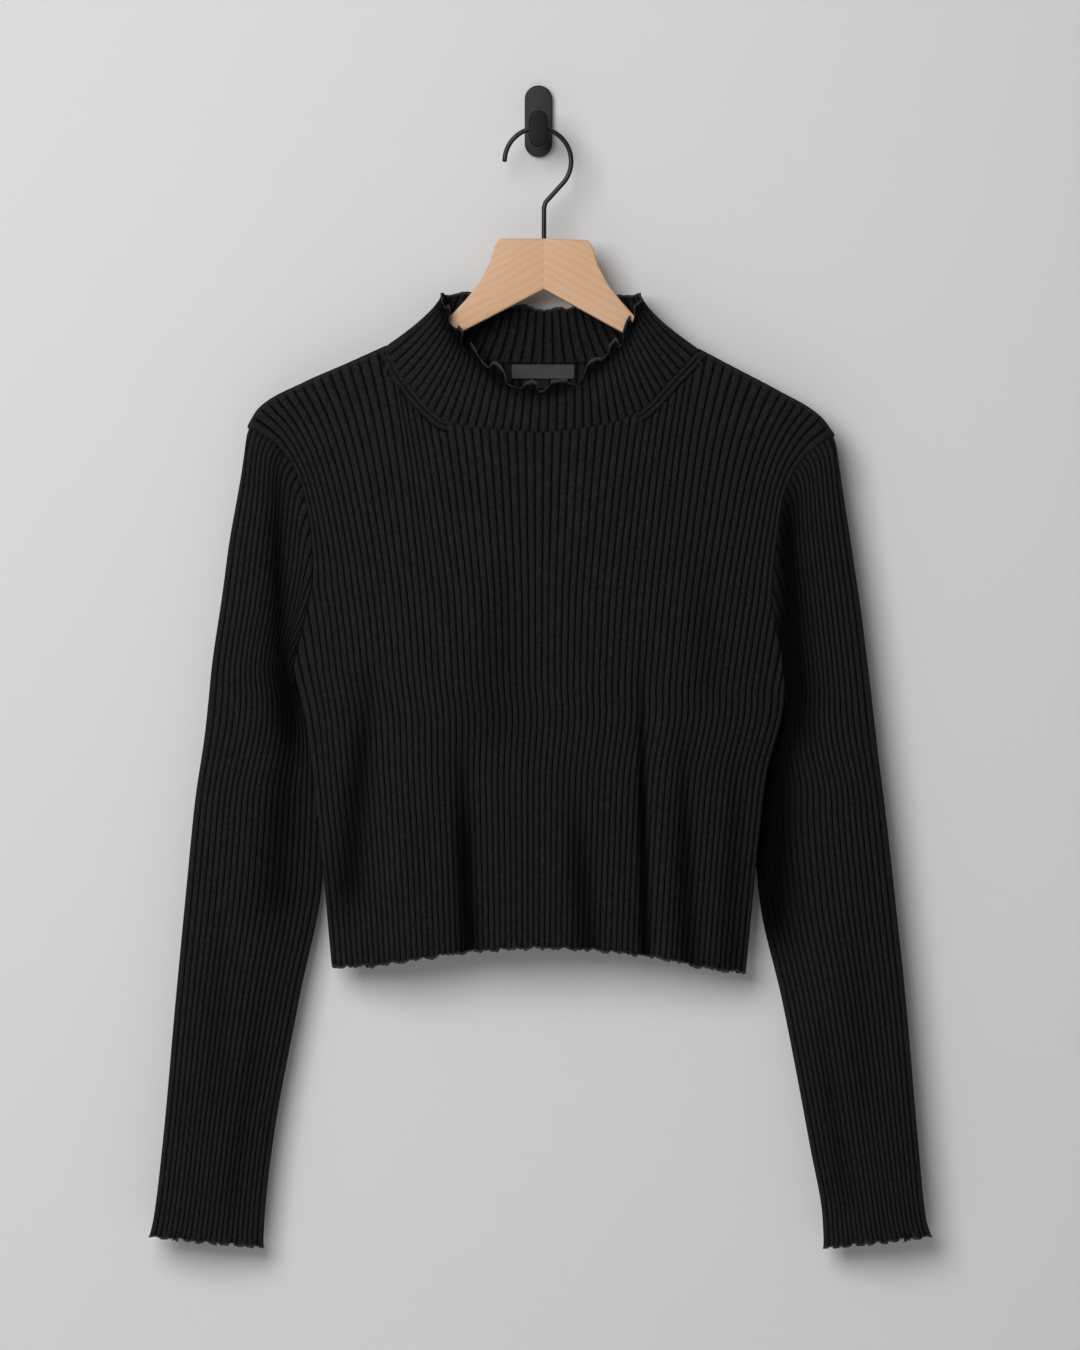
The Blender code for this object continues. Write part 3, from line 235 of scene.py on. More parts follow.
# Collar: a short tube from the neck seam up to its waving edge
COLLAR_FRONT_RIBS = 42
COLLAR_BACK_RIBS = 28
COLLAR_RIBS = COLLAR_FRONT_RIBS + COLLAR_BACK_RIBS
COLLAR_WAVES = 18
BACK_WAVES, MEET_PART = 0.15, 0.10  # part of the waves at its back, and where they grow from it
COLLAR_EDGE = (COLLAR_WAVES, 3.0, 5.0, 10.0, NECK_SEAM_LOW)  # as make_tube takes it
NECK_GAP = -0.2  # at the neck seam, whose two sides are sewn together
SEAM_POINTS = 721  # on the line that a neck edge's length is measured on
NEAR_POINTS = 361  # and on the one that the ribs beside it are measured from
SEAM_STEP = 0.008  # part of the neck seam over which its direction is taken
COLLAR_BOW = 4.0  # how far the collar bows out between its edges
COLLAR_DIP = 4.0  # and how far its front leans in under the edge
BOW_POWER, NECK_POWER = 0.8, 1.4  # put the bow low, and most of the narrowing
DIP_AT, DIP_LONG = 0.84, 0.15  # parts of its height
# Length that its rows are counted on, the part with even steps, and such a step
COLLAR_LONG, COLLAR_LOW, COLLAR_STEP = 40.0, 22.0, 1.5
COLLAR_SHADE = 0.86  # painted shade under the collar's edge, where the collar leans in
SHADE_DEPTH = 8.0  # distance before the middle plane in which it comes up
SHADE_HIGH, SHADE_LOW = 6.0, 21.0  # distances below the edge between which it fades
COLLAR_FRONT = table("part x z deep", (0, -67.6, -126, 0), (0.04, -66.5, -130.5, 8.5),
    (0.08, -64.5, -137, 11), (0.17, -58, -152, 13), (0.27, -47, -165, 15), (0.38, -26, -184, 17.5),
    (0.5, 1.8, -193, 18.5), (0.62, 32, -182, 17.5), (0.73, 52, -165, 15), (0.83, 63.5, -150, 13),
    (0.92, 69.5, -136, 11), (0.96, 71.2, -131, 8.5), (1, 72, -127, 0))
COLLAR_BACK = table("part x z deep", (0, -67.6, -126, 0), (0.04, -66, -125.4, 8.5),
    (0.12, -56, -125, 10.5), (0.3, -28, -133, 11), (0.5, 4, -136.5, 11), (0.7, 34, -133.5, 11),
    (0.88, 60, -126, 10.5), (0.96, 70.5, -126.2, 8.5), (1, 72, -127, 0))

# Labels on the inside of the back, under the neck seam
LABEL_THICK = 0.6
LABEL_THIN, LABEL_HEM = 0.55, 1.2  # part of that inside the turned-in hem, and the hem's width
LABEL_SEWN = 0.8  # width of the row of stitches at the rim
LABEL_SWELL = 0.12
NECK_LABEL = {"left": -19.4, "right": 26.0, "top": -176.6, "bottom": -187.0}
SIZE_LABEL = {"left": -2.5, "right": 7.6, "top": -187.4, "bottom": -194.0}

# Hanger
BOARD_THICK, BOARD_ROUND = 12.0, 1.3
JOINT_OVER = 0.9  # each arm's round edge reaches over the joint, so that it closes
HANGER_X = 4.0  # x of the joint between its two arms
ARM_DROP = 0.036  # how much lower the right arm is than the left, for its length
# An arm from the joint outwards; the same on both sides
ARM_OUTLINE = table("out z", (0, -86.4), (31.6, -86.4), (35.5, -92), (38.5, -103), (46, -117.5),
    (56, -130), (65, -139.6), (75, -147), (112.5, -169.8), (142.6, -182), (171.4, -195.2), (190, -206.5),
    (198, -214.5), (199, -221), (194, -227), (187, -226.5), (112.5, -188.5), (60, -154), (0, -122.4))

# Wire hook of the hanger, in the hanger's own plane
WIRE = 3.5
HOOK_X = -0.4
HOOK_RADIUS = 24.0
HOOK_TOP = -6.5  # height of the wire's centre at the top of the bend
# The shank rises from the board at HANGER_X, and bends aside at its top
SHANK = table("aside z", (0, -74), (0, -64), (1.2, -60))
HOOK_START, HOOK_END = -38.0, 178.0  # degrees round the bend
HOOK_STEPS = 64
WIRE_IN = 0.2  # how far it goes into the board
WIRE_END = table("down size", (0.6, 0.93), (1.1, 0.72), (1.35, 0.35))
WIRE_END_LEAN = 0.05

# Wall hook
PLATE_WIDE, PLATE_TALL, PLATE_THICK = 20.0, 52.0, 5.0
KNOB_WIDE, KNOB_TALL, KNOB_THICK, KNOB_Z = 14.0, 27.0, 6.0, -7.6
STEM_END = -31.5  # y of the knob's back face
PLATE_ROUND, KNOB_ROUND = 1.6, 1.4
PILL_STEPS = 28  # in each round end
SHARP_ANGLE = 40.0  # degrees between faces that meet in an edge
SAME_POINT = 1e-6  # metres apart or less, points are one

# Looks
COURSE = 1.5  # height of a stitch
WALES = 2.0  # columns of stitches on a rib
KNIT_TOP = (0.0070, 0.0070, 0.0071)
KNIT_WORN = (0.0198, 0.0198, 0.0200)
KNIT_FLECK = (0.0400, 0.0400, 0.0410)
# painted shade in the grooves between the ribs
KNIT_GROOVE_SHADE = (0.0010, 0.0010, 0.0011)
KNIT_THREAD = (0.0450, 0.0450, 0.0460)
# painted shade in creases and under the collar's edge
CREASE_SHADE = (0.0004, 0.0004, 0.0004)
RIBBON_THREAD, RIBBON_PICK = 0.45, 0.6  # of the labels' ribbon, along and up
# Its dark and its light grey, and its sheen
LABEL_GREYS = (0.022, 0.022, 0.023), (0.056, 0.056, 0.058), 0.3
TAB_GREYS = (0.003, 0.003, 0.003), (0.007, 0.007, 0.007), 0.0
WOOD_PALE = (0.680, 0.430, 0.262)
WOOD_WARM = (0.590, 0.350, 0.195)
WOOD_DEEP = (0.460, 0.250, 0.130)
WOOD_PORE = (0.300, 0.155, 0.078)
GRAIN_TURN = 27.0  # degrees down from level, along an arm
# Painted metal: colour, colour where it is worn, roughness, grain and shine
WIRE_LOOK = (0.005, 0.005, 0.005), (0.010, 0.010, 0.010), 0.22, 900.0, 0.3
PLATE_LOOK = (0.022, 0.022, 0.023), (0.028, 0.028, 0.029), 0.50, 1500.0, 0.25
KNOB_LOOK = (0.005, 0.005, 0.005), (0.008, 0.008, 0.008), 0.40, 1500.0, 0.13

# Curves and outlines


def through(rows, key, value, at):
    """A smooth line through a table's rows that never overshoots them."""
    order = np.argsort(rows[key])
    x, y = rows[key][order], rows[value][order]
    width = np.diff(x)
    slope = np.diff(y) / width
    bend = np.zeros(len(x))
    bend[0], bend[-1] = slope[0], slope[-1]
    if len(x) > 2:
        same = slope[:-1] * slope[1:] > 0
        mean = 3 * (width[:-1] + width[1:]) / np.where(
            same,
            (2 * width[1:] + width[:-1]) / np.where(same, slope[:-1], 1)
            + (width[1:] + 2 * width[:-1]) / np.where(same, slope[1:], 1),
            1)
        bend[1:-1] = np.where(same, mean, 0)
    at = np.clip(np.asarray(at, dtype=float), x[0], x[-1])
    i = np.clip(np.searchsorted(x, at) - 1, 0, len(x) - 2)
    t = (at - x[i]) / width[i]
    return ((1 + 2 * t) * (1 - t) ** 2 * y[i] + t * (1 - t) ** 2 * width[i] * bend[i]
            + t * t * (3 - 2 * t) * y[i + 1] - t * t * (1 - t) * width[i] * bend[i + 1])


def x_and_z(rows, key, at):
    """The x and z of a smooth line through a table's rows."""
    return [through(rows, key, name, at) for name in "xz"]


def path_length(x, z):
    """Distance of each point of a line from its start."""
    return np.concatenate(([0], np.cumsum(np.hypot(np.diff(x), np.diff(z)))))


def along(path, part):
    """The x and z at a part of a path's length."""
    length = path_length(path["x"], path["z"])
    return x_and_z({"part": length / length[-1], "x": path["x"], "z": path["z"]}, "part", part)


def ease(value):
    """0 below 0, 1 above 1, and smooth between them."""
    t = np.clip(value, 0, 1)
    return t * t * (3 - 2 * t)


def fold_sink(folds, x, z, crease=False):
    """How far folds sink in. A crease starts as a line at its top and opens towards its bottom."""
    total = np.zeros(np.broadcast(x, z).shape)
    for at, top, bottom, lean, wide, sink in zip(*folds.values()):
        down = np.clip((top - z) / (top - bottom), 0, 1)
        if crease:
            fade = ease(down / CREASE_IN) * ease((1 - down) / CREASE_OUT)
            wide = wide * (CREASE_LINE + (1 - CREASE_LINE) * down)
        else:
            fade = ease((top - z) / FOLD_END) * ease((z - bottom) / FOLD_END)
        total = total + sink * fade * np.exp(-((x - at - lean * (2 * down - 1)) / wide) ** 2)
    return total


# Body


def half_depth(x, z, deep):
    """How far a panel's inside is from the middle plane, without its folds."""
    left, right = [np.where(z > side["z"][0], through(edge, "z", "x", z), through(side, "z", "x", z))
                   for side, edge in ((LEFT_SIDE, LEFT_EDGE), (RIGHT_SIDE, RIGHT_EDGE))]
    across = np.where(x < CENTRE, (CENTRE - x) / (CENTRE - left), (x - CENTRE) / (right - CENTRE))
    lens = deep * (1 - np.clip(across, 0, 1) ** LENS_POWER)
    to_tip = np.where(x < CENTRE, x - RIDGE["x"][0], RIDGE["x"][-1] - x) / SHOULDER_ROUND
    round_tip = np.sqrt(1 - (1 - np.clip(to_tip, 0, 1)) ** 2)
    arm = SHOULDER_ROUND * round_tip * ease((z - ARM_FROM) / ARM_FADE)
    full = np.maximum(lens, arm)
    below = np.clip(through(RIDGE, "x", "z", x) - z, 0, None)
    over = np.minimum(SHOULDER_ROUND, full)
    turn = np.sqrt(1 - (1 - np.clip(below / SHOULDER_ROUND, 0, 1)) ** 2)
    return over * turn + (full - over) * (1 - np.exp(-below / SHOULDER_FALL))


def even_across(rib, z):
    """x of a rib that lies evenly between the side seams, which run on above the underarms."""
    left, right = [through(side, "z", "x", z) + sign * SIDE_SLOPE * np.clip(z - side["z"][0], 0, None)
                   for side, sign in ((LEFT_SIDE, -1), (RIGHT_SIDE, 1))]
    return left + (right - left) * rib / BODY_RIBS


def chest_line(rib):
    """x and z of the row where the outer ribs end on the lower armholes."""
    left = along(LEFT_UNDERARM, rib / UNDERARM_RIBS)
    right = along(RIGHT_UNDERARM, (BODY_RIBS - rib) / UNDERARM_RIBS)
    part = (rib - FIRST) / (LAST - FIRST)
    start = (LEFT_ARMHOLE["x"][0], LEFT_ARMHOLE["z"][0])
    end = (RIGHT_ARMHOLE["x"][0], RIGHT_ARMHOLE["z"][0])
    lines = [start[i] + (end[i] - start[i]) * part for i in (0, 1)]
    return [np.where(rib < FIRST, left[i], np.where(rib > LAST, right[i], lines[i])) for i in (0, 1)]


def lower_body(rib, part):
    """x and z of a rib between the hem and the chest line."""
    foot = through(HEM, "part", "z", rib / BODY_RIBS)
    top_x, top_z = chest_line(rib)
    z = foot + (top_z - foot) * part
    spread = ease((z - top_z + SPREAD_HEIGHT) / SPREAD_HEIGHT)
    return even_across(rib, z) + (top_x - even_across(rib, top_z)) * spread, z


def upper_body(rib, part, neck):
    """x and z of a rib between the chest line and the shoulder or neck seam."""
    foot = chest_line(rib)
    place = []
    for name, base in zip("xz", foot):
        top = np.where(rib <= NECK_START, through(LEFT_SHOULDER, "rib", name, rib),
                       np.where(rib >= NECK_END, through(RIGHT_SHOULDER, "rib", name, rib),
                                through(neck, "rib", name, rib)))
        value = base + (top - base) * part
        for hole, steps in ((LEFT_ARMHOLE, rib - FIRST), (RIGHT_ARMHOLE, LAST - rib)):
            bow = along(hole, part)["xz".index(name)]
            straight = hole[name][0] + (hole[name][-1] - hole[name][0]) * part
            value = value + np.exp(-steps / WEIGHT_OF_ARMHOLE) * (bow - straight)
        place.append(value)
    return place


def body_out(x, z, face):
    """How far the inside of the front (face -1) or the back (face 1) is from the middle plane."""
    front = half_depth(x, z, FRONT_DEEP) - fold_sink(FRONT_FOLDS, x, z)
    back = half_depth(x, z, BACK_DEEP) - fold_sink(BACK_FOLDS, x, z)
    return np.where(np.asarray(face) < 0, front, back)


def body_normal(x, z, face):
    """The direction in which the cloth of the body is thick."""
    step = SLOPE_STEP
    slope_x = (body_out(x + step, z, face) - body_out(x - step, z, face)) / (2 * step)
    slope_z = (body_out(x, z + step, face) - body_out(x, z - step, face)) / (2 * step)
    return unit(np.stack(np.broadcast_arrays(-slope_x, face, -slope_z), axis=-1).astype(float))


def unit(vector):
    """The same directions with length 1."""
    return vector / np.linalg.norm(vector, axis=-1, keepdims=True)


def off_surface(surface, across, up, thick, outward):
    """Points at a height above a surface, which is a function of two places on it."""
    span = surface(across + RIB_STEP, up) - surface(across - RIB_STEP, up)
    above, below = np.minimum(up + PART_STEP, 1), np.maximum(up - PART_STEP, 0)
    rise = surface(across, above) - surface(across, below)
    normal = unit(np.cross(span, rise)) * outward
    return surface(across, up) + normal * thick[..., None]


# Meshes


def new_object(name, data):
    """An object in the scene."""
    thing = bpy.data.objects.new(name, data)
    bpy.context.scene.collection.objects.link(thing)
    return thing


def face_out(mesh, merge=0.0):
    """Merges near points of a smooth mesh, and turns its faces out."""
    shape = bmesh.new()
    shape.from_mesh(mesh)
    if merge:
        bmesh.ops.remove_doubles(shape, verts=shape.verts, dist=merge)
    bmesh.ops.recalc_face_normals(shape, faces=shape.faces)
    shape.to_mesh(mesh)
    shape.free()
    mesh.shade_smooth()


# Shells


def round_rib(place):
    """Height of a round rib, 0 in its grooves and 1 on its top."""
    across = np.abs(2 * np.mod(place, 1) - 1)
    return np.sqrt(1 - across ** RIB_POWER)


def rib_places(low, high):
    """Places of the columns of points from one rib line to another."""
    ribs = np.arange(low, high)[:, None] + np.array(RIB_STEPS)
    return np.append(ribs.ravel(), high)


def seam_rise(distance, low=SEAM_LOW):
    """How the cloth's height rises from a seam, that is pulled in."""
    return low + (1 - low) * ease(distance / SEAM_FADE)


def cloth_height(ribs, rise):
    """Height of the outer surface over the plain inside, and how much of it is risen from a seam."""
    return (WALL + RIB * ribs - GROOVE_DEEP * (1 - ribs)) * rise


def bead(to_edge):
    """How much thicker the cloth is in the thread at its free edge."""
    return BEAD_THICK * (1 - ease(to_edge / BEAD_HIGH))


def crease_shade(sink):
    """Painted shade in creases of a depth, 0 to 1."""
    return DARK_PART * np.clip(sink / DARK_SINK, 0, 1)


class Shell:
    """Collects the points and faces of a thin closed piece, with two pairs of marks at each corner.

    The first pair is for the knit: the place in ribs, and the distance up from the free edge. The
    second is for its painted shade and thread: the height of the rib, by which the grooves are
    painted darker, and 1 on the thread of the free edge or less than 0 where shade is painted.
    """

    def __init__(self):
        self.points = []
        self.count = 0
        self.faces = []
        self.marks = []

    def add(self, points):
        """Adds rows of points and returns their numbers in the same layout."""
        shape = points.shape[:-1]
        ids = self.count + np.arange(np.prod(shape)).reshape(shape)
        self.points.append(points.reshape(-1, 3))
        self.count += ids.size
        return ids

    def grid(self, ids, marks):
        """Four-sided faces between rows of points, with marks for each point."""
        for store, value in ((self.faces, ids[..., None]), (self.marks, marks)):
            corners = (value[:-1, :-1], value[:-1, 1:], value[1:, 1:], value[1:, :-1])
            store.append(np.stack(corners, axis=2).reshape(-1, 4, value.shape[-1]))

    def strip(self, low, high, marks):
        """Faces between two lines of points that have the same marks."""
        self.grid(np.stack([low, high]), np.stack([marks, marks]))

    def object(self, name, material):
        """The mesh, in metres, with its faces pointing out."""
        mesh = bpy.data.meshes.new(name)
        faces = np.concatenate(self.faces)[..., 0]
        marks = np.concatenate(self.marks)
        mesh.from_pydata(np.concatenate(self.points) * METRES, [], faces.tolist())
        for i, layer in enumerate(("knit", "shade")):
            uv = mesh.uv_layers.new(name=layer)
            uv.data.foreach_set("uv", marks[..., 2 * i:2 * i + 2].astype(np.float32).ravel())
        face_out(mesh)
        mesh.materials.append(material)
        return new_object(name, mesh)


def knit_marks(places, lengths, height, edge):
    """The four marks of each point of a grid."""
    return np.stack(np.broadcast_arrays(places, lengths, height, edge), axis=-1)


def two_sides(points, normal, height, away):
    """The outer and the inner side of a shell, which meet where away is 0."""
    inner = away * np.maximum(height - THIN, 0)
    return [points + normal * far[..., None] for far in (height, inner)]


def edge_shade(to_edge, dark):
    """1 on the thread of a free edge, and below 0 where a crease has painted shade."""
    thread = 1 - ease((to_edge - THREAD_HIGH) / THREAD_FADE)
    return np.where(thread > 0, thread, -dark)


def lengths_up(points):
    """Distance of each point from the first row, along its column."""
    steps = np.linalg.norm(np.diff(points, axis=0), axis=-1)
    return np.vstack([np.zeros(points.shape[1]), np.cumsum(steps, axis=0)])


def swing(rows, turn):
    """A sum of sine waves."""
    return sum(size * np.sin(speed * turn + start) for size, speed, start in zip(*rows.values()))


def waves(turn):
    """Uneven waves of a stretched edge: to and fro, up and down, and along it."""
    late = turn + UNEVEN * np.sin(UNEVEN_SPEED * turn)
    return swing(DEEP_WAVES, late), swing(HIGH_WAVES, late), np.sin(2 * late)


# Panels


def near_neck(x, z, neck):
    """Distance of points from the neck seam, and the rib at the nearest place on it."""
    ribs = np.linspace(NECK_START, NECK_END, NEAR_POINTS)
    seam_x, seam_z = x_and_z(neck, "rib", ribs)
    apart = np.hypot(x[..., None] - seam_x, z[..., None] - seam_z)
    nearest = apart.argmin(-1)
    return np.take_along_axis(apart, nearest[..., None], -1)[..., 0], ribs[nearest]


def small_folds(x, z, face):
    """Soft unevenness of the hanging cloth, other than its main folds."""
    wander = np.sin(z / SOFT_LONG + face)
    total = 0.0
    for size, wide, turn, aside in zip(*SOFT_FOLDS.values()):
        total = total + size * np.sin((x + aside * wander) / wide + turn * face)
    return ease((SOFT_TOP - z) / SOFT_FADE) * total


def panel_grid(places, parts, upper, face):
    """The plain inside of half a panel: points, normals, their x and z, and the painted shade of its
    creases.
    """
    neck, creases = (FRONT_NECK, FRONT_CREASES) if face < 0 else (BACK_NECK, BACK_CREASES)
    flat = []
    for part in parts:
        up = np.broadcast_to(part, places.shape)
        flat.append(upper_body(places, up, neck) if upper else lower_body(places, up))
    x, z = np.moveaxis(np.array(flat), 1, 0)
    out = body_out(x, z, face)
    normal = body_normal(x, z, face)
    steady = ease((LEFT_ARMHOLE["z"][0] - STEADY_FROM - z) / STEADY_FADE)
    sink = fold_sink(creases, x, z, crease=True)
    if upper:
        out = out * (1 - ease(1 - (1 - parts[:, None]) * TOP_HIGH / CLOSE_LONG) * ~at_neck(places))
    points = np.stack([x, MIDDLE + face * (out - SEAM_OVER), z], axis=-1)
    points += normal * (small_folds(x, z, face) * steady - sink)[..., None]
    return points, normal, x, z, crease_shade(PANEL_CREASE_SHADE * sink)


def at_neck(places):
    """Whether a rib ends on the neck seam."""
    return (places > NECK_START) & (places < NECK_END)


def under_arm(places):
    """Whether a rib ends on the lower armhole."""
    return (places < FIRST) | (places > LAST)


def panel_ribs(places, upper, face, x, z, points):
    """Height of the ribs of half a panel, 0 to 1, and how far it is risen from the seam above."""
    height = np.broadcast_to(round_rib(places), x.shape)
    below = lengths_up(points[::-1])[::-1]
    if not upper:
        return height, np.where(under_arm(places), seam_rise(below), 1)
    near, rib = near_neck(x, z, FRONT_NECK if face < 0 else BACK_NECK)
    from_shoulder = np.minimum(rib - NECK_START, NECK_END - rib)
    mask = ease((BAND_END + BAND_FADE - from_shoulder) / BAND_FADE)
    mask = mask * ease((from_shoulder - BAND_START) / BAND_FULL + at_neck(places))
    band = round_rib(np.clip(near / BAND_WIDE, 0, 1) * BAND_RIBS)
    at_band = np.where(near < BAND_WIDE, band, height * ease((near - BAND_WIDE) / BAND_EDGE))
    height = height + (at_band - height) * mask * (near < BAND_REACH)
    flat = np.where(at_neck(places), 0, FLAT_PART * (1 - ease(below / SHOULDER_FLAT)))
    height = height + (FLAT_HIGH - height) * flat
    return height, np.where(at_neck(places), seam_rise(near, NECK_SEAM_LOW),
                            seam_rise(below, SHOULDER_LOW))


def panel_half(places, parts, upper, face, start):
    """Outer and inner points of half a panel, their marks and lengths, which begin at start."""
    points, normal, x, z, dark = panel_grid(places, parts, upper, face)
    lengths = lengths_up(points) + start
    ribs, rise = panel_ribs(places, upper, face, x, z, points)
    side = np.minimum(places - places[0], places[-1] - places) * RIB_WIDE
    free = np.minimum(side, (lengths[-1] - lengths) / OPEN_RUN)
    if not upper:
        free = np.where(under_arm(places), free, side)
        fade = (1 - np.clip(lengths / FRILL_BAND, 0, 1)) ** WAVE_POWER
        deep, high, _ = waves(2 * math.pi * HEM_WAVES * places / BODY_RIBS + face)
        inside = ease(np.minimum(places, BODY_RIBS - places) / UNDERARM_RIBS + SIDE_WAVES)
        points[..., 1] += fade * inside * HEM_DEEP * deep
        points[..., 2] += fade * (HEM_HIGH * high + SCALLOP * (1 - round_rib(places)))
    height = cloth_height(ribs, np.minimum(seam_rise(side), rise)) + bead(lengths)
    outer, inner = two_sides(points, normal, height, ease(free))
    return outer, inner, knit_marks(places, lengths, ribs, edge_shade(lengths, dark)), lengths


def make_panel(name, face, material):
    """The front or the back, as a thin ribbed shell."""
    lower = np.arange(EDGE_ROWS[-1] + ROW_STEP, LOWER_HIGH - ROW_REST, ROW_STEP)
    lower = np.concatenate((EDGE_ROWS, lower, [LOWER_HIGH])) / LOWER_HIGH
    upper = np.arange(ROW_STEP, TOP_HIGH - SEAM_ROWS[0] - ROW_REST, ROW_STEP)
    upper = np.concatenate(([0.0], upper, TOP_HIGH - np.array(SEAM_ROWS))) / TOP_HIGH
    places = rib_places(0, BODY_RIBS)
    keep = (places >= FIRST) & (places <= LAST)
    *low, low_marks, lengths = panel_half(places, lower, False, face, 0.0)
    *high, high_marks, _ = panel_half(rib_places(FIRST, LAST), upper, True, face, lengths[-1][keep])
    shell, sides = Shell(), []
    for low_points, high_points in zip(low, high):
        low_ids, high_ids = shell.add(low_points), shell.add(high_points[1:])
        high_ids = np.vstack([low_ids[-1][keep], high_ids])
        shell.grid(low_ids, low_marks)
        shell.grid(high_ids, high_marks)
        sides.append((low_ids, high_ids))
    (outer, outer_top), (inner, inner_top) = sides
    shell.strip(outer[0], inner[0], low_marks[0])
    for side in (0, -1):
        shell.strip(outer[:, side], inner[:, side], low_marks[:, side])
        shell.strip(outer_top[:, side], inner_top[:, side], high_marks[:, side])
    for ends in (places <= FIRST, places >= LAST):
        shell.strip(outer[-1][ends], inner[-1][ends], low_marks[-1][ends])
    shell.strip(outer_top[-1], inner_top[-1], high_marks[-1])
    return shell.object(name, material)


def tube_parts(total, low, step):
    """The rows of a tube as parts of its length: even steps, and close rows at its edge."""
    return np.concatenate((np.arange(0, low, step), total - np.array(EDGE_ROWS[::-1]))) / total


def make_tube(name, surface, seam_normal, rib_count, parts, outward, edge, strength, dark, material):
    """A ribbed tube from the body's seam (part 0) to its waving edge (part 1).

    The edge is the number of its waves, how far they go to and fro and along the tube, the height
    of the band that they are in, and the part of its height that the cloth has at the seam.
    strength(places) is the part that the waves have there, and dark(points, to_edge) is the
    painted shade of the tube's creases, or under its edge.
    """
    edge_waves, frill_deep, frill_high, frill_band, seam_low = edge
    places = rib_places(0, rib_count)
    points, normal = [], []
    for part in parts:
        up = np.full(len(places), part)
        points.append(surface(places, up))
        normal.append(off_surface(surface, places, up, np.ones(len(places)), outward) - points[-1])
    points = np.array(points)
    lengths = lengths_up(points)
    to_edge = lengths[-1] - lengths
    start, turn_run = seam_normal(places)
    turn_in = ease(lengths / turn_run)[..., None]
    normal = unit(start[None] * (1 - turn_in) + np.array(normal) * turn_in)
    points[0] -= SEAM_TUCK * unit(points[1] - points[0])
    fade = (1 - np.clip(to_edge / frill_band, 0, 1)) ** WAVE_POWER * strength(places)
    deep, high, aside = waves(2 * math.pi * edge_waves * places / rib_count)
    onward = unit(points[-1] - points[-5])
    around = unit(np.roll(points[-1], -1, axis=0) - np.roll(points[-1], 1, axis=0))
    shade = edge_shade(to_edge, dark(points, to_edge))
    along_tube = frill_high * high - SCALLOP * (1 - round_rib(places))
    for way, far in ((normal, frill_deep * deep), (onward, along_tube), (around, EDGE_CURL * aside)):
        points = points + way * (fade * far)[..., None]
    ribs = np.broadcast_to(round_rib(places), lengths.shape)
    height = cloth_height(ribs, seam_rise(lengths, seam_low)) + bead(to_edge)
    marks = knit_marks(places, to_edge, ribs, shade)
    shell = Shell()
    sides = two_sides(points, normal, height, ease(lengths / OPEN_RUN))
    sides = [shell.add(rows[:, :-1]) for rows in sides]
    outer, inner = [np.hstack([ids, ids[:, :1]]) for ids in sides]
    for ids in (outer, inner):
        shell.grid(ids, marks)
    for row in (0, -1):
        shell.strip(outer[row], inner[row], marks[row])
    return shell.object(name, material)


# Sleeves


def armhole_line(left):
    """The body's edge at the armhole, from the shoulder tip to the underarm, at its own rows."""
    upper, lower = (LEFT_ARMHOLE, LEFT_UNDERARM) if left else (RIGHT_ARMHOLE, RIGHT_UNDERARM)
    ribs = np.arange(FIRST - 0.5, -0.25, -0.5)
    down = along(upper, np.linspace(0, 1, ARMHOLE_POINTS)[::-1])
    x, z = [np.concatenate(both) for both in zip(down, along(lower, ribs / FIRST))]
    return x, z, path_length(x, z)


def on_armhole(left, across):
    """The line of the armhole, its lengths, and how far along it a place across the sleeve is."""
    x, z, length = armhole_line(left)
    return x, z, length, through(ARMHOLE_SHARE, "across", "along", across) * length[-1]


def beside_armhole(left, across, face, values):
    """Values given for the points of the armhole's line, between them; values is a function."""
    x, z, length, at = on_armhole(left, across)
    front, back = values(x, z, -1.0), values(x, z, 1.0)
    return np.where(face < 0, np.interp(at, length, front), np.interp(at, length, back))


def armhole_point(left, across, face):
    """A place on the sleeve's side of its seam, from the shoulder tip (0) to the underarm (1)."""
    side = -1 if left else 1
    x, z, length, at = on_armhole(left, across)
    ends = [np.clip(at + step, 0, length[-1]) for step in (SLOPE_STEP, -SLOPE_STEP)]
    dx, dz = [np.interp(ends[0], length, line) - np.interp(ends[1], length, line) for line in (x, z)]
    turn = side * (GAP + TIP_ROOM * ease(1 - across / ROOM_PART)) / np.hypot(dx, dz)
    room = side * UNDERARM_ROOM * ease(1 - (1 - across) / ROOM_PART)
    seam_x = np.interp(at, length, x) - turn * dz + room
    seam_z = np.interp(at, length, z) + turn * dx
    return seam_x, face * (GAP / 2 + beside_armhole(left, across, face, body_out)), seam_z


def around_sleeve(place):
    """The face, and the part of the way across it from the outer edge."""
    around = np.mod(place, 2 * SLEEVE_RIBS)
    face = np.where(around <= SLEEVE_RIBS, -1.0, 1.0)
    return face, np.where(around <= SLEEVE_RIBS, around, 2 * SLEEVE_RIBS - around) / SLEEVE_RIBS


def armhole_normal(left):
    """Where the sleeve's wall stands at the armhole: as the body's wall does."""
    def normal(place):
        face, across = around_sleeve(place)
        parts = [beside_armhole(left, across, face,
                                lambda x, z, side, axis=axis: body_normal(x, z, side)[:, axis])
                 for axis in range(3)]
        run = TURN_RUN * (TURN_LEAST + (1 - TURN_LEAST) * ease(across / ROOM_PART))
        return unit(np.stack(parts, axis=-1)), run
    return normal


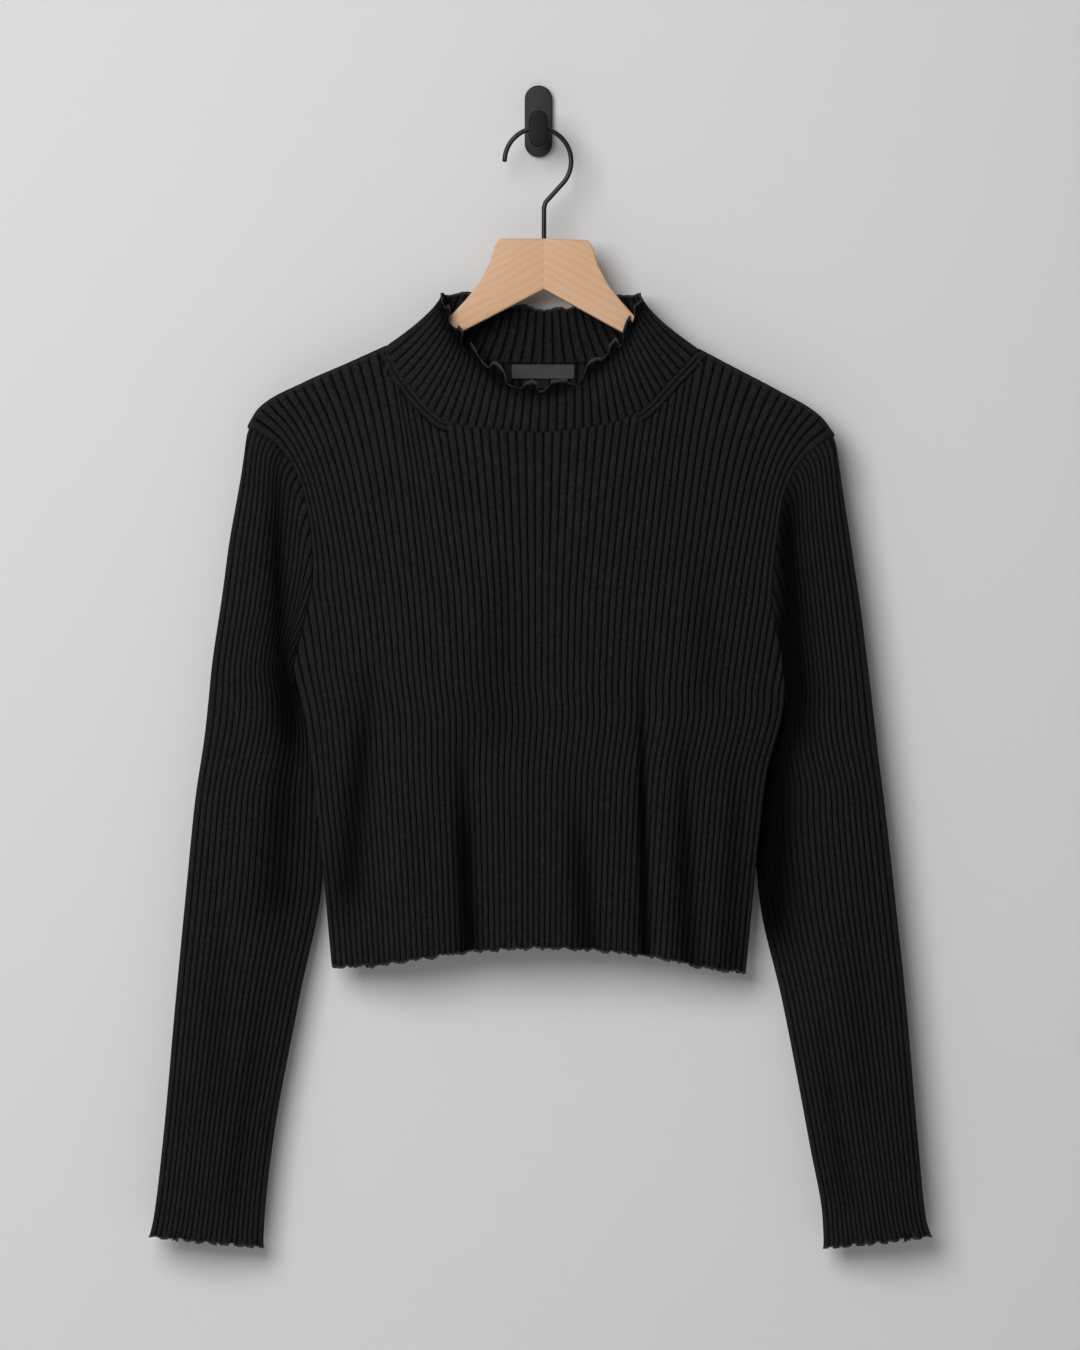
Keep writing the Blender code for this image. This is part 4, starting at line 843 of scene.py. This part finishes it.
def sleeve_surface(left):
    """The inside of a sleeve: place in ribs around, part of the way from armhole to cuff."""
    shape, creases = (LEFT_SLEEVE, LEFT_CREASES) if left else (RIGHT_SLEEVE, RIGHT_CREASES)
    cuff = LEFT_CUFF if left else RIGHT_CUFF
    side = -1 if left else 1
    underarm_z = shape["z"][UNDERARM_ROW]

    def surface(place, part):
        face, across = around_sleeve(place)
        seam_x, seam_out, seam_z = armhole_point(left, across, face)
        z = seam_z + (cuff[0] + (cuff[1] - cuff[0]) * across - seam_z) * part
        outer = through(shape, "z", "outer", z)
        wide = np.abs(through(shape, "z", "inner", z) - outer)
        seam_from_outer = np.abs(seam_x - through(shape, "z", "outer", seam_z))
        early = ease((across - SETTLE_FROM) / (SETTLE_TO - SETTLE_FROM))
        settled_z = SLEEVE_SETTLED + (underarm_z - SLEEVE_SETTLED) * early
        settle = 1 - (1 - np.clip((seam_z - z) / (seam_z - settled_z + 1), 0, 1)) ** 2
        gathered = ease((z - SLEEVE_SETTLED) / (underarm_z - SLEEVE_SETTLED))
        share = 1 - (1 - across) ** (1 + GATHER * gathered)
        from_outer = seam_from_outer + (share * wide - seam_from_outer) * settle
        steps = (seam_z - z) / ARCH_RUN
        from_outer = from_outer - ARCH_OUT * steps * np.exp(1 - steps) * 4 * share * (1 - share)
        away = ease((seam_z - z) / SEAM_RUN)
        bulge = np.sqrt(np.clip(1 - np.abs(2 * across - 1) ** SLEEVE_POWER, 0, 1))
        out = face * through(shape, "z", "deep", z) * bulge
        out = out - face * bulge * fold_sink(creases, from_outer, z, crease=True)
        turned = ease((across - BEHIND_FROM) / (BEHIND_TO - BEHIND_FROM))
        behind = SLEEVE_BEHIND * through(shape, "z", "behind", z) * turned
        y = MIDDLE + seam_out + (behind + out - seam_out) * away
        return np.stack(np.broadcast_arrays(outer - side * from_outer, y, z), axis=-1)

    return surface


def sleeve_crease_shade(left):
    """Painted shade in the creases of a sleeve."""
    shape, creases = (LEFT_SLEEVE, LEFT_CREASES) if left else (RIGHT_SLEEVE, RIGHT_CREASES)

    def dark(points, to_edge):
        x, z = points[..., 0], points[..., 2]
        from_outer = np.abs(x - through(shape, "z", "outer", z))
        return crease_shade(SLEEVE_CREASE_SHADE * fold_sink(creases, from_outer, z, crease=True))
    return dark


def sleeve_strength(places):
    """Smaller waves where the two faces of a cuff meet."""
    across = around_sleeve(places)[1]
    return CORNER_WAVES + (1 - CORNER_WAVES) * ease(np.minimum(across, 1 - across) / CORNER_PART)


# Collar


def around_collar(place):
    """Whether a place is at the front, and the part of the way across from the left shoulder."""
    around = np.mod(place, COLLAR_RIBS)
    front = around <= COLLAR_FRONT_RIBS
    return front, np.where(front, around / COLLAR_FRONT_RIBS, (COLLAR_RIBS - around) / COLLAR_BACK_RIBS)


def neck_line(seam, across):
    """The x and z at a part of the length of a panel's neck edge."""
    rib = np.linspace(NECK_START, NECK_END, SEAM_POINTS)
    length = path_length(*x_and_z(seam, "rib", rib))
    return x_and_z(seam, "rib", np.interp(across, length / length[-1], rib))


def neck_seam(across, front):
    """The x and z of the collar's side of the neck seam."""
    sides = []
    for seam in (FRONT_NECK, BACK_NECK):
        x, z = neck_line(seam, across)
        dx, dz = np.subtract(neck_line(seam, across + SEAM_STEP), neck_line(seam, across - SEAM_STEP))
        length = np.hypot(dx, dz)
        sides.append((x - NECK_GAP * dz / length, z + NECK_GAP * dx / length))
    return [np.where(front, a, b) for a, b in zip(*sides)]


def neck_normal(place):
    """Where the collar's wall stands at the neck seam: as the body's wall does."""
    front, across = around_collar(place)
    x, z = neck_seam(across, front)
    return body_normal(x, z, np.where(front, -1.0, 1.0)), TURN_RUN


def collar_surface(place, part):
    """The inside of the collar: place in ribs around, part of the way up from the neck seam."""
    front, across = around_collar(place)
    face = np.where(front, -1.0, 1.0)
    high = {}
    low_x, low_z = neck_seam(across, front)
    for name in ("x", "z", "deep"):
        high[name] = np.where(front, through(COLLAR_FRONT, "part", name, across),
                              through(COLLAR_BACK, "part", name, across))
    low_out = GAP / 2 + body_out(low_x, low_z, face)
    middle = np.sqrt(np.sin(math.pi * np.clip(across, 0, 1)))
    dip = np.where(front, COLLAR_DIP, 0) * np.exp(-((part - DIP_AT) / DIP_LONG) ** 2)
    bow = middle * (COLLAR_BOW * np.sin(math.pi * part ** BOW_POWER) - dip)
    out = low_out + (high["deep"] - low_out) * part + bow
    x = low_x + (high["x"] - low_x) * (1 - (1 - part) ** NECK_POWER)
    z = low_z + (high["z"] - low_z) * part
    return np.stack(np.broadcast_arrays(x, MIDDLE + face * out, z), axis=-1)


def collar_strength(places):
    """Small waves at the back of the collar, and where the back meets the front."""
    front, across = around_collar(places)
    inward = ease(np.minimum(across, 1 - across) / MEET_PART)
    return BACK_WAVES + np.where(front, 1 - BACK_WAVES, BACK_WAVES) * inward


def collar_edge_shade(points, to_edge):
    """Painted shade on the front of the collar, under its edge, where it leans in."""
    front = ease((MIDDLE - points[..., 1]) / SHADE_DEPTH)
    return COLLAR_SHADE * front * ease((SHADE_LOW - to_edge) / (SHADE_LOW - SHADE_HIGH))


# Hard pieces


def flat_outline(name, outline, thick, rounding, at, material):
    """A flat piece with round edges from its outline; at is the y of its middle."""
    curve = bpy.data.curves.new(name, "CURVE")
    curve.dimensions = "2D"
    curve.fill_mode = "BOTH"
    curve.extrude = (thick / 2 - rounding) * METRES
    curve.bevel_depth = rounding * METRES
    curve.bevel_resolution = 4
    curve.offset = -rounding * METRES
    fill_spline(curve, [(x, z, 0.0) for x, z in outline]).use_cyclic_u = True
    return as_mesh(name, curve, (math.radians(90), 0, 0), (0, at * METRES, 0), material)


def as_mesh(name, curve, turn, place, material):
    """A mesh in its place from a curve, smooth but for its real edges."""
    maker = new_object(name + "_curve", curve)
    maker.rotation_euler = turn
    maker.location = place
    bpy.context.view_layer.update()
    mesh = bpy.data.meshes.new_from_object(maker.evaluated_get(bpy.context.evaluated_depsgraph_get()))
    mesh.transform(maker.matrix_world)
    bpy.data.objects.remove(maker, do_unlink=True)
    face_out(mesh, merge=SAME_POINT)
    mesh.materials.clear()
    mesh.materials.append(material)
    mesh.set_sharp_from_angle(angle=math.radians(SHARP_ANGLE))
    mesh.name = name
    return new_object(name, mesh)


def fill_spline(curve, points):
    """A line of points in a curve."""
    spline = curve.splines.new("POLY")
    spline.points.add(len(points) - 1)
    for point, place in zip(spline.points, points):
        point.co = (*[value * METRES for value in place], 1)
    return spline


def pill(wide, tall, middle):
    """Outline of a flat bar with round ends."""
    radius = wide / 2
    reach = tall / 2 - radius
    turns = np.linspace(0, math.pi, PILL_STEPS + 1)
    upper = [(radius * math.cos(a), middle + reach + radius * math.sin(a)) for a in turns]
    lower = [(-radius * math.cos(a), middle - reach - radius * math.sin(a)) for a in turns]
    return upper + lower


def make_arm(name, side, material):
    """One arm of the hanger; the two meet in a tight joint."""
    out = np.where(ARM_OUTLINE["out"] == 0, -JOINT_OVER, ARM_OUTLINE["out"])
    drop = ARM_DROP if side > 0 else 0.0
    outline = [(HANGER_X + side * x, z - drop * x) for x, z in zip(out, ARM_OUTLINE["z"])]
    return flat_outline(name, outline[::side], BOARD_THICK, BOARD_ROUND, MIDDLE, material)


def make_hook(material):
    """The hanger's wire, with a rounded end."""
    centre_z = HOOK_TOP - HOOK_RADIUS
    line = [(HANGER_X, ARM_OUTLINE["z"][0] - WIRE_IN)]
    line += [(HANGER_X + aside, z) for aside, z in zip(*SHANK.values())]
    for turn in np.radians(np.linspace(HOOK_START, HOOK_END, HOOK_STEPS + 1)):
        line.append((HOOK_X + HOOK_RADIUS * math.cos(turn), centre_z + HOOK_RADIUS * math.sin(turn)))
    x, z = line[-1]
    sizes = [1.0] * len(line) + list(WIRE_END["size"])
    line += [(x - WIRE_END_LEAN * down, z - down) for down in WIRE_END["down"]]
    curve = bpy.data.curves.new("hanger_hook", "CURVE")
    curve.dimensions = "3D"
    curve.bevel_depth = WIRE / 2 * METRES
    curve.bevel_resolution = 5
    curve.use_fill_caps = True
    spline = fill_spline(curve, [(x, MIDDLE, z) for x, z in line])
    spline.points.foreach_set("radius", sizes)
    return as_mesh("hanger_wire", curve, (0, 0, 0), (0, 0, 0), material)


def make_label(name, edges, material):
    """A woven label on the inside of the back, with its long edges turned in."""
    shell = Shell()
    xs = np.linspace(edges["left"], edges["right"], 41)
    zs = np.linspace(edges["bottom"], edges["top"], 13)
    x, z = np.meshgrid(xs, zs)
    back = MIDDLE + GAP / 2 + half_depth(x, z, BACK_DEEP) - GAP
    rim = np.minimum(np.minimum(x - xs[0], xs[-1] - x), np.minimum(z - zs[0], zs[-1] - z))
    swell = LABEL_SWELL * np.sin((x - xs[0]) / 5.0) * np.sin(math.pi * (z - zs[0]) / (zs[-1] - zs[0]))
    hem = ease(1 - rim / LABEL_HEM)
    front = back - LABEL_THICK * (LABEL_THIN + (1 - LABEL_THIN) * hem) - swell
    marks = knit_marks(x - xs[0], z - zs[0], np.ones(x.shape), ease(1 - rim / LABEL_SEWN))
    ids = [shell.add(np.stack([x, y, z], axis=-1)) for y in (front, back)]
    for grid in ids:
        shell.grid(grid, marks)
    for row in (0, -1):
        shell.strip(ids[0][row], ids[1][row], marks[row])
        shell.strip(ids[0][:, row], ids[1][:, row], marks[:, row])
    return shell.object(name, material)


# Materials


class Value:
    """A value in a material, with which sums can be written."""

    def __init__(self, nodes, socket):
        self.nodes, self.socket = nodes, socket

    def __rsub__(self, other):
        return self.nodes.math("SUBTRACT", other, self)


for sign, operation in (("add", "ADD"), ("sub", "SUBTRACT"), ("mul", "MULTIPLY"), ("truediv", "DIVIDE"),
                        ("pow", "POWER"), ("gt", "GREATER_THAN")):
    setattr(Value, f"__{sign}__", lambda a, b, operation=operation: a.nodes.math(operation, a, b))


class Nodes:
    """Builds a material's nodes."""

    def __init__(self, name):
        self.material = bpy.data.materials.new(name)
        self.material.use_nodes = True
        self.tree = self.material.node_tree
        self.shader = self.tree.nodes["Principled BSDF"]

    def node(self, kind, inputs=(), out=0, **settings):
        """An output, by name or number, of a node with its inputs set or linked."""
        node = self.tree.nodes.new("ShaderNode" + kind)
        for key, value in settings.items():
            setattr(node, key, value)
        for key, value in dict(inputs).items():
            self.feed(node.inputs[key], value)
        return Value(self, node.outputs[out])

    def feed(self, socket, value):
        """Links a socket, or sets it."""
        if isinstance(value, Value):
            self.tree.links.new(value.socket, socket)
        else:
            socket.default_value = value

    def parts(self, vector):
        """The three parts of a vector."""
        first = self.node("SeparateXYZ", {0: vector})
        return [Value(self, socket) for socket in first.socket.node.outputs]

    def marks(self, layer):
        """The two marks of a layer."""
        return self.parts(self.node("UVMap", uv_map=layer))[:2]

    def math(self, operation, a, b=0.0, c=0.0):
        """The result of a sum."""
        return self.node("Math", {0: a, 1: b, 2: c}, operation=operation)

    def mix(self, share, a, b):
        """A colour between two others."""
        node = self.node("Mix", data_type="RGBA").socket.node
        self.feed(node.inputs["Factor"], share)
        for socket, value in zip([s for s in node.inputs if s.type == "RGBA"], (a, b)):
            self.feed(socket, value if isinstance(value, Value) else (*value, 1.0))
        return Value(self, [s for s in node.outputs if s.type == "RGBA"][0])

    def noise(self, vector, scale, detail=3.0, roughness=0.5):
        """A noise, 0 to 1."""
        return self.node("TexNoise", {"Vector": vector, "Scale": scale, "Detail": detail,
                                      "Roughness": roughness}, "Fac")

    def streaks(self, vector, scale, detail, roughness=0.5):
        """A noise that is drawn out, with a scale for each direction."""
        drawn = self.node("Mapping", {"Vector": vector, "Scale": scale})
        return self.noise(drawn, 1.0, detail, roughness)

    def place(self):
        """Where a point is on the object, in metres."""
        return self.node("TexCoord", out="Object")

    def bump(self, height, distance, strength, before=None):
        """A bump of a real height in metres."""
        values = {"Height": height, "Distance": distance, "Strength": strength}
        if before is not None:
            values["Normal"] = before
        return self.node("Bump", values, "Normal")

    def set(self, **values):
        """Sets or links the shader's sockets; a space in a name is an underscore here."""
        for key, value in values.items():
            self.feed(self.shader.inputs[key.replace("_", " ")], value)
        return self.material


def knit_material():
    """Black rib knit: rows of small stitches, a little fuzz, the thread on the free edges, and painted
    shade in its grooves, its creases and under the collar's edge.
    """
    n = Nodes("rib_knit")
    (rib, length), (high, edge) = n.marks("knit"), n.marks("shade")
    wale = n.math("PINGPONG", rib * WALES, 0.5) * 2.0
    row = length / COURSE + wale * 0.6
    stitch = (n.math("SINE", row * (2 * math.pi)) * 0.5 + 0.5) * (1.0 - wale * 0.5)
    fuzz = n.noise(n.place(), 1400.0, 3.0, 0.7)
    grain = n.noise(n.place(), 430.0, 3.0, 0.75)
    grain = n.math("MULTIPLY_ADD", grain, 2.6, -0.8)
    fleck = n.noise(n.place(), 620.0, 2.0, 0.6)
    top = n.mix(grain, KNIT_TOP, KNIT_WORN)
    top = n.mix(stitch * 0.3, top, KNIT_WORN)
    top = n.mix((fleck > 0.70) * 0.4, top, KNIT_FLECK)
    high = high - (1.0 - grain) * 0.12
    low = 1.0 - n.math("MAXIMUM", high, 0.0)
    # painted shade: the grooves between the ribs are coloured darker than the rib tops
    colour = n.mix((1.0 - low * low) ** 2.6, KNIT_GROOVE_SHADE, top)
    # painted shade: the colour goes to near black in creases and under the collar's edge
    thread, crease = n.math("MAXIMUM", edge, 0.0), n.math("MAXIMUM", edge * -1.0, 0.0)
    colour = n.mix(crease, n.mix(thread * 0.85, colour, KNIT_THREAD), CREASE_SHADE)
    normal = n.bump(fuzz, 0.00012, 0.5, n.bump(stitch, 0.00035, 0.55))
    return n.set(Base_Color=colour, Roughness=0.90, Sheen_Weight=0.015, Sheen_Roughness=0.45,
                 Specular_IOR_Level=0.05, Normal=normal)


def label_material(name, dark, light, shine):
    """Satin ribbon: fine cross threads, and a row of stitches at its rim."""
    n = Nodes(name)
    (across, up), (_, rim) = n.marks("knit"), n.marks("shade")
    threads = n.math("SINE", across * (2 * math.pi / RIBBON_THREAD))
    picks = n.math("SINE", up * (2 * math.pi / RIBBON_PICK))
    weave = threads * picks * 0.5 + 0.5
    uneven = n.noise(n.place(), 300.0, 2.0)
    colour = n.mix(weave * 0.5, dark, light)
    colour = n.mix(uneven * 0.35, colour, dark)
    return n.set(Base_Color=n.mix(rim * 0.5, colour, dark), Roughness=0.55, Sheen_Weight=shine,
                 Specular_IOR_Level=0.15 + shine, Normal=n.bump(weave, 0.00015, 0.5))


def wood_material(name, side):
    """Pale maple with its grain along an arm of the hanger."""
    n = Nodes(name)
    turn = side * math.radians(-GRAIN_TURN)
    turned = n.node("Mapping", {"Vector": n.place(), "Rotation": (0.0, turn, 0.0)})
    _, depth, across = n.parts(turned)
    bend = n.streaks(turned, (9.0, 9.0, 26.0), 2.0)
    rings = across * 190.0 + bend * 2.6 + depth * 60.0
    band = n.math("PINGPONG", rings, 0.5) ** 1.6
    fibre = n.streaks(turned, (40.0, 900.0, 900.0), 4.0, 0.65)
    pores = n.streaks(turned, (110.0, 1700.0, 1700.0), 2.0)
    colour = n.mix(band * 1.5, WOOD_PALE, WOOD_WARM)
    colour = n.mix(fibre * 0.40, colour, WOOD_DEEP)
    colour = n.mix((pores > 0.66) * 0.16, colour, WOOD_PORE)
    return n.set(Base_Color=colour, Roughness=fibre * 0.18 + 0.40, Specular_IOR_Level=0.30,
                 Coat_Weight=0.06, Coat_Roughness=0.35, Normal=n.bump(fibre, 0.00006, 0.5))


def metal_material(name, colour, worn, rough, grain, shine):
    """Black painted metal with a fine orange peel."""
    n = Nodes(name)
    peel = n.noise(n.place(), grain, 2.0)
    wear = n.noise(n.place(), 90.0, 4.0, 0.7)
    return n.set(Base_Color=n.mix(wear * 0.5, colour, worn), Roughness=wear * 0.16 + rough,
                 Specular_IOR_Level=shine, Normal=n.bump(peel, 0.00004, 0.5))


def stage_material(name, colour, one_sided):
    """Plain matt paint; a one-sided wall is clear from behind."""
    n = Nodes(name)
    uneven = n.noise(n.place(), 1.4, 2.0)
    n.set(Base_Color=n.mix(uneven, colour, [c * 0.985 for c in colour]), Roughness=0.9,
          Specular_IOR_Level=0.1)
    if one_sided:
        behind = n.node("NewGeometry", out="Backfacing")
        clear = {0: behind, 1: Value(n, n.shader.outputs[0]), 2: n.node("BsdfTransparent")}
        n.feed(n.tree.nodes["Material Output"].inputs["Surface"], n.node("MixShader", clear))
    return n.material


# Building

knit = knit_material()
woven = label_material("woven_label", *LABEL_GREYS)
tab = label_material("woven_tab", *TAB_GREYS)
wire = metal_material("black_wire", *WIRE_LOOK)
black = metal_material("matt_black", *PLATE_LOOK)
satin = metal_material("satin_black", *KNOB_LOOK)

front = make_panel("front_cloth", -1, knit)
back = make_panel("back_cloth", 1, knit)
sleeve_parts = tube_parts(SLEEVE_LONG, SLEEVE_LONG - EDGE_ROWS[-1] - ROW_REST, ROW_STEP)
collar_parts = tube_parts(COLLAR_LONG, COLLAR_LOW, COLLAR_STEP)
sleeves = []
for name, left in (("sleeve_left_cloth", True), ("sleeve_right_cloth", False)):
    sleeves.append(make_tube(name, sleeve_surface(left), armhole_normal(left), 2 * SLEEVE_RIBS,
                             sleeve_parts, -1 if left else 1, CUFF_EDGE,
                             sleeve_strength, sleeve_crease_shade(left), knit))
collar = make_tube("collar_cloth", collar_surface, neck_normal, COLLAR_RIBS, collar_parts, 1,
                   COLLAR_EDGE, collar_strength, collar_edge_shade, knit)
labels = [make_label("neck_label_woven", NECK_LABEL, woven),
          make_label("size_label_woven", SIZE_LABEL, tab)]
arms = [make_arm("hanger_arm_left", -1, wood_material("maple_left", -1)),
        make_arm("hanger_arm_right", 1, wood_material("maple_right", 1))]
hook = make_hook(wire)
plate = flat_outline("plate", pill(PLATE_WIDE, PLATE_TALL, 0.0), PLATE_THICK, PLATE_ROUND,
                     -PLATE_THICK / 2, black)
knob = flat_outline("knob", pill(KNOB_WIDE, KNOB_TALL, KNOB_Z), KNOB_THICK, KNOB_ROUND,
                    STEM_END - KNOB_THICK / 2, satin)
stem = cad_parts["wall_stem"].data.materials
stem.clear()
stem.append(black)

pairs = ((front, "front", "rib_knit"), (back, "back", "rib_knit"),
         (sleeves[0], "sleeve_left", "rib_knit"), (sleeves[1], "sleeve_right", "rib_knit"),
         (collar, "collar", "rib_knit"), (labels[0], "neck_label", "woven_label"),
         (labels[1], "size_label", "woven_label"), (arms[0], "hanger_left", "maple"),
         (arms[1], "hanger_right", "maple"), (hook, "hanger_hook", "black_wire"),
         (plate, "wall_plate", "matt_black"), (knob, "wall_knob", "matt_black"))
for piece, node, slot in pairs:
    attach(piece, "root")
    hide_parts(node)

# Stage, light and camera

FRAME_HIGH = 972.0  # height of the view at the cloth
VIEW_X, VIEW_Z = 1.1, -401.0  # its middle
CLOTH_Y = -38.0  # of the cloth's front, where the view has that height
DISTANCE = 6000.0
SENSOR = 36.0
# In metres
ROOM = 12.0  # width of the wall and the floor
WALL_BEHIND = 0.0004  # keeps the wall clear of the plate's back
FLOOR_Z = -1.3
WALL_GREY, FLOOR_GREY = (0.69, 0.69, 0.695), (0.72, 0.72, 0.72)
KEY_PLACE, KEY_TARGET = (-1.10, -2.6, 0.75), (0.0, 0.0, -0.25)
KEY_SIZE, KEY_POWER, WORLD_LIGHT = 1.9, 75.0, 0.16


def make_plane(name, size, place, turn, material):
    """A big plain surface of the stage."""
    bpy.ops.mesh.primitive_plane_add(size=size, location=place, rotation=turn)
    thing = bpy.context.object
    thing.name = name
    thing.data.materials.append(material)
    return thing


def make_light(name, place, target, size, power):
    """A soft square light that faces a target."""
    light = bpy.data.lights.new(name, "AREA")
    light.shape = "SQUARE"
    light.size = size
    light.energy = power
    thing = new_object(name, light)
    thing.location = place
    thing.rotation_euler = (Vector(target) - Vector(place)).to_track_quat("-Z", "Y").to_euler()


level, upright = (0.0, 0.0, 0.0), (math.radians(90), 0.0, 0.0)
wall = make_plane("wall", ROOM, (0.0, WALL_BEHIND, 1.0), upright,
                  stage_material("wall_paint", WALL_GREY, True))
wall.visible_shadow = False
make_plane("floor", ROOM, (0.0, 0.0, FLOOR_Z), level, stage_material("floor_paint", FLOOR_GREY, False))
make_light("key", KEY_PLACE, KEY_TARGET, KEY_SIZE, KEY_POWER)
world = bpy.data.worlds.new("studio")
world.use_nodes = True
background = world.node_tree.nodes["Background"].inputs
background["Color"].default_value = (1.0, 1.0, 1.0, 1.0)
background["Strength"].default_value = WORLD_LIGHT
bpy.context.scene.world = world
bpy.context.scene.view_settings.view_transform = "Standard"

camera = bpy.data.cameras.new("camera")
camera.sensor_width = SENSOR
camera.lens = SENSOR * DISTANCE / FRAME_HIGH
view = new_object("camera", camera)
view.location = (VIEW_X * METRES, (CLOTH_Y - DISTANCE) * METRES, VIEW_Z * METRES)
view.rotation_euler = upright
bpy.context.scene.camera = view
